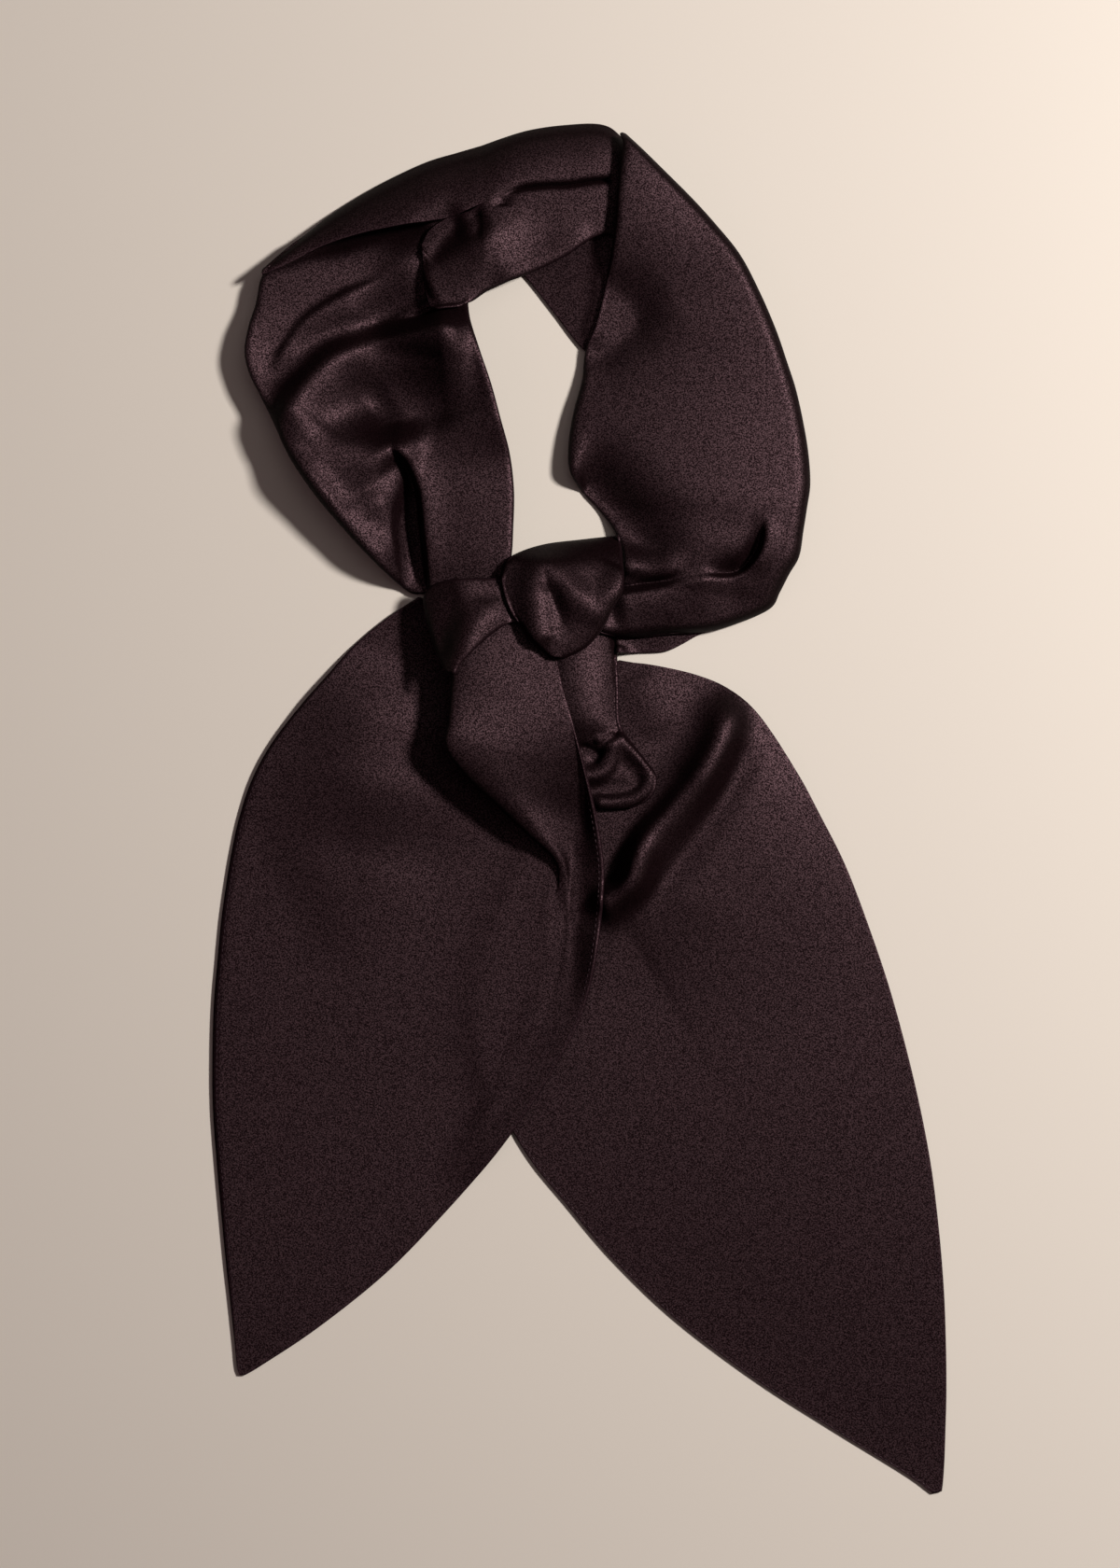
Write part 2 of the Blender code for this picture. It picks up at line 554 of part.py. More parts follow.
CUFF_EDGES = (
    # upper x, y, z, lower x, y, z, arch
    (-24, 93, 11, -24, 77, 18, 5),
    (-30, 94.3, 11, -29.6, 76.3, 18, 6),
    (-40, 94.3, 11, -37.5, 70.8, 19, 6),
    (-48, 94, 11, -44, 64.7, 20, 5),
    (-54, 93.5, 10, -48.5, 60, 20, 4),
    (-60, 91.5, 8, -51.7, 55, 19, 2),
    (-63, 87, 7, -55.5, 60, 15, 1),
    (-62.5, 80, 7, -59, 67, 9, 0),
)
CUFF_FOLDS = (
    # height, width to its left, width to its right, fade, path
    (3.5, 3.5, 11, 0.15, ((-52, 56), (-50.5, 64), (-48, 73), (-45, 82), (-42, 93))),
)
cuff = ribbon(CUFF_EDGES, along=12, across=8, left_roll=(3, 4), right_roll=(1.5, 3))
cuff = drape(add_folds(cuff, CUFF_FOLDS), [surface(tail_left), surface(band_left)])
add_node("knot_loop_left", [cuff], PLUM)

# ---------------------------------------------------------------- knot, wrap
# The turn that passes over everything else, from the right side of the ring
# down to a point over the stem.

WRAP_EDGES = (
    # left x, y, z, right x, y, z, arch
    (4, 111.3, 12, 16.4, 112.4, 10, 2),
    (-13, 108.8, 12, 16.6, 109.5, 9, 8),
    (-24, 105, 13, 16.8, 105, 9, 12),
    (-29.8, 100, 14, 17, 100, 9.5, 14),
    (-31, 94.5, 16, 17.4, 94.5, 11, 14),
    (-29.5, 89, 17, 17, 88.6, 12, 14),
    (-27.8, 82.6, 17, 13.4, 82.6, 13, 14),
    (-24, 77, 17, 10.2, 76.8, 14, 13),
    (-21, 71.2, 17, 7, 71.2, 15, 10),
    (-15.5, 66.8, 16, 1.5, 66.6, 15, 7),
    (-9.8, 62.8, 15, -6.5, 62.8, 15, 2),
)
WRAP_FOLDS = (
    # height, width to its left, width to its right, fade, path
    (4.5, 3.6, 3, 0.12, ((-11, 65), (-13.5, 74), (-16.5, 84), (-17.5, 92), (-15, 99), (-10, 99.5))),
    (-5.5, 3, 3.6, 0.2, ((-12.5, 97), (-10.5, 88), (-7.5, 78), (-4.5, 68))),
    (3, 3, 3, 0.25, ((-12, 100), (-6, 95), (-1, 87), (4, 82), (12, 85), (17, 92))),
    (-3, 5, 5, 0.3, ((15, 105), (7, 99), (2, 93))),
)
wrap = ribbon(WRAP_EDGES, along=20, across=14, left_roll=(6, 6), right_roll=(5, 5), arch_power=0.7)
under_wrap = [surface(grid) for grid in (stem, cuff, band_left, tail_left, band_right, return_under)]
wrap = drape(add_folds(wrap, WRAP_FOLDS), under_wrap)
add_node("knot_wrap", [wrap], PLUM)
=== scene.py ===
import bmesh
import bpy
import numpy as np
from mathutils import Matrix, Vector
from mathutils.bvhtree import BVHTree


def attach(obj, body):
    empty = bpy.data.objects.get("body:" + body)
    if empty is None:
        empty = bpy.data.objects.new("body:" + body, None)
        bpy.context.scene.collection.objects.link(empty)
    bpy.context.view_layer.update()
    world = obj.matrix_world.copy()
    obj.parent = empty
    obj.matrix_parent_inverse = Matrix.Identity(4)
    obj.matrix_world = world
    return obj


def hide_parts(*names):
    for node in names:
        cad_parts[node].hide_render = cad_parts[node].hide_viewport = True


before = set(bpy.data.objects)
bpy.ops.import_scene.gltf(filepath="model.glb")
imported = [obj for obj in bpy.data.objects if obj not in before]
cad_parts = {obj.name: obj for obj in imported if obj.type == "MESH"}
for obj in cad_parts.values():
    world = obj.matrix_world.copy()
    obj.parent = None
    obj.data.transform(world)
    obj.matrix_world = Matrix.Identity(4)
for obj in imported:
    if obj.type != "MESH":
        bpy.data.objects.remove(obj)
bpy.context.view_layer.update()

# ---------------------------------------------------------------- the surface, the view and the light
# The scarf is laid on a plain pale surface and seen from straight above, from
# about a metre and a half. A small key light stands to the right and a little to
# the top, half-way up. Two broad weak lights fill it, from above and the left.

SURFACE_REACH = 2.2
surface_mesh = bpy.data.meshes.new("pale_surface")
surface_mesh.from_pydata(
    [
        (-SURFACE_REACH, -SURFACE_REACH, 0),
        (SURFACE_REACH, -SURFACE_REACH, 0),
        (SURFACE_REACH, SURFACE_REACH, 0),
        (-SURFACE_REACH, SURFACE_REACH, 0),
    ],
    [],
    [(0, 1, 2, 3)],
)
pale_surface = bpy.data.objects.new("pale_surface", surface_mesh)
bpy.context.scene.collection.objects.link(pale_surface)
pale = bpy.data.materials.new("pale_surface")
pale.use_nodes = True
pale_shader = pale.node_tree.nodes["Principled BSDF"]
pale_shader.inputs["Base Color"].default_value = (0.76, 0.70, 0.62, 1)
pale_shader.inputs["Roughness"].default_value = 0.7
surface_mesh.materials.append(pale)

EYE = (-0.00799, 0.00998, 1.5285)  # over the middle of the photographed frame
camera_data = bpy.data.cameras.new("camera")
camera_data.lens = 85
camera_data.sensor_width = 36
camera_data.clip_end = 10
camera = bpy.data.objects.new("camera", camera_data)
camera.location = EYE
bpy.context.scene.collection.objects.link(camera)
bpy.context.scene.camera = camera


def hang_light(name, towards, distance, side, power, colour):
    """A square soft light that looks at the scarf from one direction."""
    data = bpy.data.lights.new(name, "AREA")
    data.shape = "SQUARE"
    data.size = side
    data.energy = power
    data.color = colour
    light = bpy.data.objects.new(name, data)
    aim = Vector(towards).normalized()
    light.location = aim * distance
    light.rotation_euler = aim.to_track_quat("Z", "Y").to_euler()
    bpy.context.scene.collection.objects.link(light)


hang_light(
    "key", towards=(0.80, 0.36, 0.86), distance=1.7, side=0.22, power=33, colour=(1.0, 0.95, 0.92)
)
hang_light(
    "fill", towards=(0.10, 0.45, 1.0), distance=1.9, side=1.5, power=2.0, colour=(1.0, 0.93, 0.92)
)
hang_light(
    "bounce", towards=(-0.85, -0.36, 0.65), distance=1.9, side=1.5, power=1.25,
    colour=(1.0, 0.60, 0.76),
)
world = bpy.data.worlds.new("soft_room")
bpy.context.scene.world = world
world.use_nodes = True
background = world.node_tree.nodes["Background"]
background.inputs["Color"].default_value = (1, 0.72, 0.66, 1)
background.inputs["Strength"].default_value = 0.03
bpy.context.scene.view_settings.view_transform = "Standard"

# ---------------------------------------------------------------- the right end
# The end that lies lowest: a leaf-shaped panel of two layers of silk satin, sewn
# right sides together, turned and pressed, with a row of edge stitches down each
# side. Its left side is under the left end.

# Its satin, as on the whole scarf: a heavy silk in a plum black. The warp floats
# catch the light in a fine grain, the colour drifts a little over the cloth, and
# the turned edges are painted lighter, a painted edge highlight, and rubbed smoother.
satin = bpy.data.materials.new("plum_satin")
satin.use_nodes = True
nodes = satin.node_tree.nodes
links = satin.node_tree.links
shader = nodes["Principled BSDF"]
place = nodes.new("ShaderNodeTexCoord")


def mottle(nodes, scale, detail):
    """Noise, with its scale in lumps a metre."""
    lumps = nodes.new("ShaderNodeTexNoise")
    lumps.inputs["Scale"].default_value = scale
    lumps.inputs["Detail"].default_value = detail
    return lumps


def two_tones(nodes, low, low_colour, high, high_colour):
    """A ramp from one colour to another."""
    ramp = nodes.new("ShaderNodeValToRGB")
    first, last = ramp.color_ramp.elements
    first.position = low
    first.color = (*low_colour, 1)
    last.position = high
    last.color = (*high_colour, 1)
    return ramp


def rescale(nodes, low, high, new_low, new_high):
    """A value moved from one range to another."""
    moved = nodes.new("ShaderNodeMapRange")
    moved.inputs["From Min"].default_value = low
    moved.inputs["From Max"].default_value = high
    moved.inputs["To Min"].default_value = new_low
    moved.inputs["To Max"].default_value = new_high
    return moved


# The grain is turned off the level, so that it shows evenly on cloth that lies flat.
turned = nodes.new("ShaderNodeMapping")
turned.inputs["Rotation"].default_value = (0.7, 0.5, 0.3)
grain = mottle(nodes, scale=1850, detail=2)
grain.inputs["Roughness"].default_value = 0.6
grain_colour = two_tones(
    nodes, 0.30, (0.0022, 0.0008, 0.0010), 0.72, (0.0085, 0.0036, 0.0044)
)
links.new(place.outputs["Object"], turned.inputs["Vector"])
links.new(turned.outputs["Vector"], grain.inputs["Vector"])
links.new(grain.outputs["Fac"], grain_colour.inputs["Fac"])

# The colour's slow drift.
drift = mottle(nodes, scale=22, detail=2)
drift_shade = rescale(nodes, 0.35, 0.65, 0.90, 1.10)
shade = nodes.new("ShaderNodeVectorMath")
shade.operation = "SCALE"
links.new(place.outputs["Object"], drift.inputs["Vector"])
links.new(drift.outputs["Fac"], drift_shade.inputs["Value"])
links.new(grain_colour.outputs["Color"], shade.inputs[0])
links.new(drift_shade.outputs["Result"], shade.inputs["Scale"])

# The turned edges, painted lighter as a painted edge highlight and rubbed smoother, and the gloss of
# the cloth between them.
hem_highlight_and_wear = nodes.new("ShaderNodeAttribute")
hem_highlight_and_wear.attribute_name = "hem"
hem_highlight_and_rub = nodes.new("ShaderNodeMath")
hem_highlight_and_rub.operation = "MULTIPLY"
hem_highlit_colour = nodes.new("ShaderNodeMix")
hem_highlit_colour.data_type = "RGBA"
# the painted edge highlight: the turned edges are painted in this lighter plum
hem_highlit_colour.inputs["B"].default_value = (0.020, 0.009, 0.012, 1)
gloss = rescale(nodes, 0.3, 0.7, 0.65, 0.57)
smoother = nodes.new("ShaderNodeMath")
smoother.operation = "MULTIPLY_ADD"
smoother.inputs[1].default_value = -0.10
links.new(hem_highlight_and_wear.outputs["Fac"], hem_highlight_and_rub.inputs[0])
links.new(drift.outputs["Fac"], hem_highlight_and_rub.inputs[1])
links.new(hem_highlight_and_rub.outputs["Value"], hem_highlit_colour.inputs["Factor"])
links.new(shade.outputs["Vector"], hem_highlit_colour.inputs["A"])
links.new(hem_highlit_colour.outputs["Result"], shader.inputs["Base Color"])
links.new(grain.outputs["Fac"], gloss.inputs["Value"])
links.new(hem_highlight_and_rub.outputs["Value"], smoother.inputs[0])
links.new(gloss.outputs["Result"], smoother.inputs[2])
links.new(smoother.outputs["Value"], shader.inputs["Roughness"])

# The relief: the grain, and warp floats that run along each stretch.
threads_map = nodes.new("ShaderNodeUVMap")
threads_map.uv_map = "threads"
along_warp = nodes.new("ShaderNodeMapping")
along_warp.inputs["Scale"].default_value = (1.0, 0.25, 1.0)
float_rows = mottle(nodes, scale=3600, detail=1)
relief = nodes.new("ShaderNodeMath")
relief.operation = "ADD"
bump = nodes.new("ShaderNodeBump")
bump.inputs["Strength"].default_value = 0.15
bump.inputs["Distance"].default_value = 0.0002
links.new(threads_map.outputs["UV"], along_warp.inputs["Vector"])
links.new(along_warp.outputs["Vector"], float_rows.inputs["Vector"])
links.new(grain.outputs["Fac"], relief.inputs[0])
links.new(float_rows.outputs["Fac"], relief.inputs[1])
links.new(relief.outputs["Value"], bump.inputs["Height"])
links.new(bump.outputs["Normal"], shader.inputs["Normal"])

# The highlight is stretched along the floats, and weakens as the cloth turns away.
floats = nodes.new("ShaderNodeTangent")
floats.direction_type = "UV_MAP"
floats.uv_map = "threads"
turning = nodes.new("ShaderNodeLayerWeight")
turning.inputs["Blend"].default_value = 0.5
glint = rescale(nodes, 0.02, 0.37, 0.72, 0.05)
glint.interpolation_type = "SMOOTHSTEP"
tint = two_tones(nodes, 0.45, (0.10, 0.055, 0.065), 0.595, (1.0, 0.60, 0.68))
links.new(floats.outputs["Tangent"], shader.inputs["Tangent"])
links.new(turning.outputs["Facing"], glint.inputs["Value"])
links.new(glint.outputs["Result"], shader.inputs["Specular IOR Level"])
links.new(grain.outputs["Fac"], tint.inputs["Fac"])
links.new(tint.outputs["Color"], shader.inputs["Specular Tint"])
shader.inputs["Anisotropic"].default_value = 0.3
shader.inputs["IOR"].default_value = 1.6

# Its sizes and its shape. All tables are in millimetres, and their heights are
# those of the cloth's middle.
MM = 0.001
MIDDLE = np.array((0.29, 0.776, 0))  # the tables' place for the scarf's own middle
CLOTH = 1.3  # both layers together
AIR = 0.5  # least gap between two stretches
STACK = CLOTH + AIR
TABLE_LIE = 0.8  # height of cloth that lies on the surface
HEM = 2.0  # width of the turned edge that is painted lighter, a painted edge highlight, and rubbed smoother
STEPS_A_POINT = 8  # pieces of a fold's line for each point of its path
EDGE_CROWDING = 0.6  # how much closer the points lie near both edges
DRAPE_ROUNDS = 24  # rounds that smooth a stretch's lift over those beneath
NUDGE = 0.7  # how far round each point a stretch beneath is felt for
STEEPEST = 0.45  # a steeper slope counts as one whose normal rises this much
HIGH_ABOVE = 200.0  # from where the stretches beneath are felt for
SAME_POINT = 0.00001  # metres, under which two points are one
NO_ROLL = (0, 1)  # drop and width of an edge that isn't rolled


def catmull_rom(table, count, crowd=1.0):
    """The table's rows joined by a smooth curve, sampled `count` times."""
    rows = np.asarray(table, float)
    last = len(rows) - 1
    ghost = np.vstack([2 * rows[0] - rows[1], rows, 2 * rows[-1] - rows[-2]])
    stops = last * np.linspace(0, 1, count) ** crowd
    cells = np.minimum(stops.astype(int), last - 1)
    t = (stops - cells)[:, None]
    before, start, end, after = (ghost[cells + i] for i in range(4))
    bend = 2 * before - 5 * start + 4 * end - after
    turn = 3 * start - before - 3 * end + after
    return 0.5 * (2 * start + (end - before) * t + bend * t**2 + turn * t**3)


def fold_field(plan, folds):
    """Sum of the folds' heights at plan points (n x 2)."""
    total = np.zeros(len(plan))
    for height, left_width, right_width, fade_in, fade_out, path in folds:
        line = catmull_rom(path, STEPS_A_POINT * len(path))
        start, step = line[:-1], np.diff(line, axis=0)
        length = (step**2).sum(axis=1)
        away = plan[:, None, :] - start[None]
        along = np.clip((away * step).sum(axis=2) / length, 0, 1)
        offset = away - along[:, :, None] * step
        distance = np.sqrt((offset**2).sum(axis=2))
        nearest = distance.argmin(axis=1)
        pick = np.arange(len(plan))
        travelled = (nearest + along[pick, nearest]) / len(step)
        side = (
            step[nearest, 0] * away[pick, nearest, 1]
            - step[nearest, 1] * away[pick, nearest, 0]
        )
        width = np.where(side > 0, left_width, right_width)
        fading = np.clip(np.minimum(travelled / fade_in, (1 - travelled) / fade_out), 0, 1)
        fading = fading * fading * (3 - 2 * fading)
        total += height * fading * np.exp(-((distance[pick, nearest] / width) ** 2))
    return total


def edge_fall(distance, drop, width):
    """How far a rolled edge has fallen at a distance in from it."""
    inside = np.clip(1 - distance / width, 0, 1)
    return drop * (1 - np.sqrt(np.maximum(0, 1 - inside**2)))


def ribbon(rows, along, across, left_roll=NO_ROLL, right_roll=NO_ROLL, crowd=1.0):
    """Grid of points between the two edges of a table of sections.

    A row is left x, y, z, right x, y, z and the arch between them.
    A roll is its drop and its width in from that edge.
    """
    sections = catmull_rom(rows, along, crowd)
    left, right, arch = sections[:, 0:3], sections[:, 3:6], sections[:, 6]
    even = np.linspace(0, 1, across)
    place = even - EDGE_CROWDING * np.sin(2 * np.pi * even) / (2 * np.pi)
    grid = left[:, None, :] * (1 - place[None, :, None]) + right[:, None, :] * place[None, :, None]
    dome = 4 * place * (1 - place)
    grid[:, :, 2] += arch[:, None] * dome[None, :]
    width = np.sqrt(((right - left)[:, :2] ** 2).sum(axis=1))
    for (drop, reach), distance in (
        (left_roll, place[None, :] * width[:, None]),
        (right_roll, (1 - place[None, :]) * width[:, None]),
    ):
        if drop:
            grid[:, :, 2] -= edge_fall(distance, drop, reach)
    return grid


def add_folds(grid, folds):
    """Raises and sinks a grid by its table of folds."""
    grid[:, :, 2] += fold_field(grid[:, :, :2].reshape(-1, 2), folds).reshape(grid.shape[:2])
    return grid


def faces_of(rows, columns, first=0):
    """Quads of a grid, facing up where its rows run down the page."""
    quads = []
    for row in range(rows - 1):
        for column in range(columns - 1):
            corner = first + row * columns + column
            quads.append((corner, corner + columns, corner + columns + 1, corner + 1))
    return quads


def beside(values, missing):
    """Gives each missing value of a grid the largest of the values round it."""
    rows, columns = values.shape
    padded = np.pad(np.where(missing, -np.inf, values), 1, constant_values=-np.inf)
    around = [padded[i:i + rows, k:k + columns] for i in range(3) for k in range(3)]
    nearby = np.max(around, axis=0)
    return np.where(missing & np.isfinite(nearby), nearby, values)


def drape(grid, beneath):
    """Lifts a grid clear of the stretches beneath it, and of the table."""
    least = np.full(grid.shape[:2], TABLE_LIE)
    missing = np.full(grid.shape[:2], True)
    down = Vector((0, 0, -1))
    turns = np.arange(8) * np.pi / 4
    nudges = [(0, 0), *zip(NUDGE * np.cos(turns), NUDGE * np.sin(turns))]
    for points, quads in beneath:
        tree = BVHTree.FromPolygons([Vector(point) for point in points], quads)
        for place in np.ndindex(grid.shape[:2]):
            x, y = grid[place][:2]
            for side_x, side_y in nudges:
                above = Vector((x + side_x, y + side_y, HIGH_ABOVE))
                spot, normal, *_ = tree.ray_cast(above, down)
                if spot is not None:
                    slope = max(STEEPEST, abs(normal.z))
                    least[place] = max(least[place], spot.z + STACK / slope)
                    missing[place] = False
    least = beside(least, missing)
    lift = np.maximum(least - grid[:, :, 2], 0)
    for _ in range(DRAPE_ROUNDS):
        padded = np.pad(lift, 1, mode="edge")
        near = padded[:-2, 1:-1] + padded[2:, 1:-1] + padded[1:-1, :-2] + padded[1:-1, 2:]
        lift = np.maximum(0.5 * lift + near / 8, np.maximum(least - grid[:, :, 2], 0))
    grid[:, :, 2] += lift
    return grid


def distance_in(grid):
    """How far each point of a grid lies in from its first column, along its row."""
    steps = np.linalg.norm(np.diff(grid, axis=1), axis=2)
    return np.concatenate([np.zeros((len(grid), 1)), np.cumsum(steps, axis=1)], axis=1)


def cloth_piece(name, grids, solids):
    """One stretch of the scarf: open grids joined, thickened, and hung on the root body in place of
    its solids.
    """
    mesh = bpy.data.meshes.new(name)
    points, quads, weave, hem_highlight_and_wear_values = [], [], [], []
    for grid in grids:
        quads += faces_of(*grid.shape[:2], first=len(points))
        points += [tuple(point) for point in (grid.reshape(-1, 3) - MIDDLE) * MM]
        down = np.cumsum(np.r_[0, np.linalg.norm(np.diff(grid, axis=0), axis=2).mean(axis=1)])
        over = np.cumsum(np.r_[0, np.linalg.norm(np.diff(grid, axis=1), axis=2).mean(axis=0)])
        weave += [(b * MM, a * MM) for a in down for b in over]
        # nearness to an edge: the band painted lighter as a painted edge highlight, and rubbed
        # smoother
        reach = np.minimum(distance_in(grid), distance_in(grid[:, ::-1])[:, ::-1])
        hem_highlight_and_wear_values += list(np.clip(1 - reach / HEM, 0, 1).reshape(-1))
    mesh.from_pydata(points, [], quads)
    threads = mesh.uv_layers.new(name="threads")
    for loop in mesh.loops:
        threads.data[loop.index].uv = weave[loop.vertex_index]
    mesh.attributes.new("hem", "FLOAT", "POINT").data.foreach_set("value", hem_highlight_and_wear_values)
    work = bmesh.new()
    work.from_mesh(mesh)
    bmesh.ops.remove_doubles(work, verts=work.verts, dist=SAME_POINT)
    for face in work.faces:
        face.smooth = True
    work.to_mesh(mesh)
    work.free()
    mesh.materials.append(satin)
    piece = bpy.data.objects.new(name, mesh)
    bpy.context.scene.collection.objects.link(piece)
    wall = piece.modifiers.new("cloth", "SOLIDIFY")
    wall.thickness = CLOTH * MM
    wall.offset = 0
    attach(piece, "root")
    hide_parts(*solids)
    return piece


def surface(grid):
    """Points and quads of one grid, as the stretches above need them."""
    return grid.reshape(-1, 3), faces_of(*grid.shape[:2])


TAIL_RIGHT_EDGES = (
    # left x, y, z, right x, y, z, arch
    (8, 58, 1, 16.7, 61.6, 3, 0),
    (6, 50, 1, 32.5, 59.3, 3, 1),
    (4, 42, 1, 49.1, 55.4, 2.5, 2),
    (1, 32, 1, 62, 49.5, 2, 2.5),
    (-3, 20, 1, 75, 38, 1.5, 2.5),
    (-9, 5, 1, 89.9, 15.4, 1, 3),
    (-17, -12, 0.8, 99.1, -1.5, 0.8, 3),
    (-26, -32, 0.8, 110, -23, 0.8, 2.2),
    (-34, -54, 0.8, 120, -49, 0.8, 1),
    (-38.5, -78, 0.8, 129, -76, 0.8, 0),
    (-37, -102, 0.8, 138, -110, 0.8, 0),
    (-30, -126, 0.8, 144.6, -142, 0.8, 0),
    (-19.8, -144.4, 0.8, 148.3, -170, 0.8, 0),
    (-5, -162.6, 0.8, 150.6, -197, 0.8, 0),
    (14, -185, 0.8, 151.5, -220, 0.8, 0),
    (40, -210, 0.8, 151.7, -240, 0.8, 0),
    (73, -234.9, 0.8, 151.3, -256, 0.8, 0),
    (105, -255.4, 0.8, 150.9, -268, 0.8, 0),
    (135, -273.8, 0.8, 150.3, -277, 0.8, 0),
    (146, -281.8, 0.8, 149.8, -281, 0.8, 0),
)
TAIL_RIGHT_FOLDS = (
    # height, width to its left, width to its right, fade in, fade out, path
    # the ridge beside the pocket, its lower half
    (9, 5, 8, 0.12, 0.5, (
        (4, -40.5), (10, -38), (14, -35.5), (19, -32), (22, -28), (23.5, -22), (25, -17),
        (28, -12), (32, -7), (38, -1), (43, 5), (48, 11),
    )),
    # its upper half, which fades to the outline
    (9, 10, 8, 0.5, 0.25, (
        (28, -12), (32, -7), (38, -1), (43, 5), (48, 11), (52, 17), (56, 24), (59, 31), (61, 38),
        (63, 45), (65, 54),
    )),
    # the swell to the ridge's right
    (4, 5, 60, 0.2, 0.3, (
        (12, -37), (19, -32), (23.5, -22), (28, -12), (38, -1), (48, 11), (56, 24), (61, 38),
        (65, 54),
    )),
    # the hollow along its foot
    (-3, 6, 7, 0.2, 0.25, (
        (17, -47), (29, -36), (39, -24), (48, -12), (56, 0), (62, 11), (67, 24), (70, 32),
    )),
    # a low swell beside the stem
    (1.2, 12, 9, 0.3, 0.3, ((20, 58), (30, 44), (34, 28))),
)
tail_right = ribbon(TAIL_RIGHT_EDGES, along=250, across=116, crowd=1.6)
tail_right = drape(add_folds(tail_right, TAIL_RIGHT_FOLDS), [])

# Its edge stitches, and later the left end's: running stitches in silk thread of
# the cloth's colour, just inside the turned edge. They hold the two layers flat.
# Each is one bead of a row laid by Geometry Nodes, nearly half sunk in the cloth.
STITCH_IN = 1.8  # millimetres in from the edge
STITCH_PROUD = 0.03  # millimetres that its middle stands over the cloth
LEAST_WIDTH = 2.5  # insets across, under which a row of cloth has no stitches
FACING_COLUMNS = slice(2, 6)  # columns near the edge that say which way it faces
STITCH_PITCH = 0.0026
STITCH_LENGTH = 0.0019
STITCH_THICKNESS = 0.00034
STITCH_SEED = 7
SMALLEST_STITCH = (0.88, 0.9, 0.9)
LARGEST_STITCH = (1.08, 1.1, 1.1)

thread = bpy.data.materials.new("silk_thread")
thread.use_nodes = True
thread_nodes = thread.node_tree.nodes
thread_links = thread.node_tree.links
thread_shader = thread_nodes["Principled BSDF"]
thread_place = thread_nodes.new("ShaderNodeTexCoord")
twist = mottle(thread_nodes, scale=6000, detail=2)
twist_colour = two_tones(thread_nodes, 0, (0.006, 0.003, 0.004), 1, (0.045, 0.022, 0.030))
thread_links.new(thread_place.outputs["Object"], twist.inputs["Vector"])
thread_links.new(twist.outputs["Fac"], twist_colour.inputs["Fac"])
thread_links.new(twist_colour.outputs["Color"], thread_shader.inputs["Base Color"])
thread_shader.inputs["Roughness"].default_value = 0.5
thread_shader.inputs["Specular Tint"].default_value = (1.0, 0.72, 0.78, 1)


def stitch_maker():
    """Geometry Nodes that lay one stitch after another along a mesh's lines."""
    tree = bpy.data.node_groups.new("edge_stitches", "GeometryNodeTree")
    sockets = {}
    for title, kind, value in (
        ("Seam", "NodeSocketGeometry", None),
        ("Pitch", "NodeSocketFloat", STITCH_PITCH),
        ("Length", "NodeSocketFloat", STITCH_LENGTH),
        ("Thickness", "NodeSocketFloat", STITCH_THICKNESS),
        ("Seed", "NodeSocketInt", STITCH_SEED),
        ("Thread", "NodeSocketMaterial", None),
    ):
        socket = tree.interface.new_socket(title, in_out="INPUT", socket_type=kind)
        sockets[title] = socket.identifier
        if value is not None:
            socket.default_value = value
    tree.interface.new_socket("Stitches", in_out="OUTPUT", socket_type="NodeSocketGeometry")
    add = tree.nodes.new
    join = tree.links.new
    given = add("NodeGroupInput")
    made = add("NodeGroupOutput")
    line = add("GeometryNodeMeshToCurve")
    even = add("GeometryNodeResampleCurve")
    even.mode = "LENGTH"
    bead = add("GeometryNodeMeshUVSphere")
    bead.inputs["Segments"].default_value = 6
    bead.inputs["Rings"].default_value = 4
    bead.inputs["Radius"].default_value = 0.5  # one across, before it is stretched
    stretch = add("ShaderNodeCombineXYZ")
    tangent = add("GeometryNodeInputTangent")
    turn = add("FunctionNodeAlignRotationToVector")
    turn.axis = "X"
    uneven = add("FunctionNodeRandomValue")
    uneven.data_type = "FLOAT_VECTOR"
    uneven.inputs[0].default_value = SMALLEST_STITCH
    uneven.inputs[1].default_value = LARGEST_STITCH
    place = add("GeometryNodeInstanceOnPoints")
    size = add("ShaderNodeVectorMath")
    size.operation = "MULTIPLY"
    real = add("GeometryNodeRealizeInstances")
    coat = add("GeometryNodeSetMaterial")
    join(given.outputs["Seam"], line.inputs["Mesh"])
    join(line.outputs["Curve"], even.inputs["Curve"])
    join(given.outputs["Pitch"], even.inputs["Length"])
    join(even.outputs["Curve"], place.inputs["Points"])
    join(bead.outputs["Mesh"], place.inputs["Instance"])
    join(tangent.outputs["Tangent"], turn.inputs["Vector"])
    join(turn.outputs["Rotation"], place.inputs["Rotation"])
    join(given.outputs["Length"], stretch.inputs["X"])
    join(given.outputs["Thickness"], stretch.inputs["Y"])
    join(given.outputs["Thickness"], stretch.inputs["Z"])
    join(stretch.outputs["Vector"], size.inputs[0])
    join(given.outputs["Seed"], uneven.inputs["Seed"])
    join(uneven.outputs[0], size.inputs[1])
    join(size.outputs["Vector"], place.inputs["Scale"])
    join(place.outputs["Instances"], real.inputs["Geometry"])
    join(real.outputs["Geometry"], coat.inputs["Geometry"])
    join(given.outputs["Thread"], coat.inputs["Material"])
    join(coat.outputs["Geometry"], made.inputs["Stitches"])
    return tree, sockets


edge_stitches, stitch_sockets = stitch_maker()


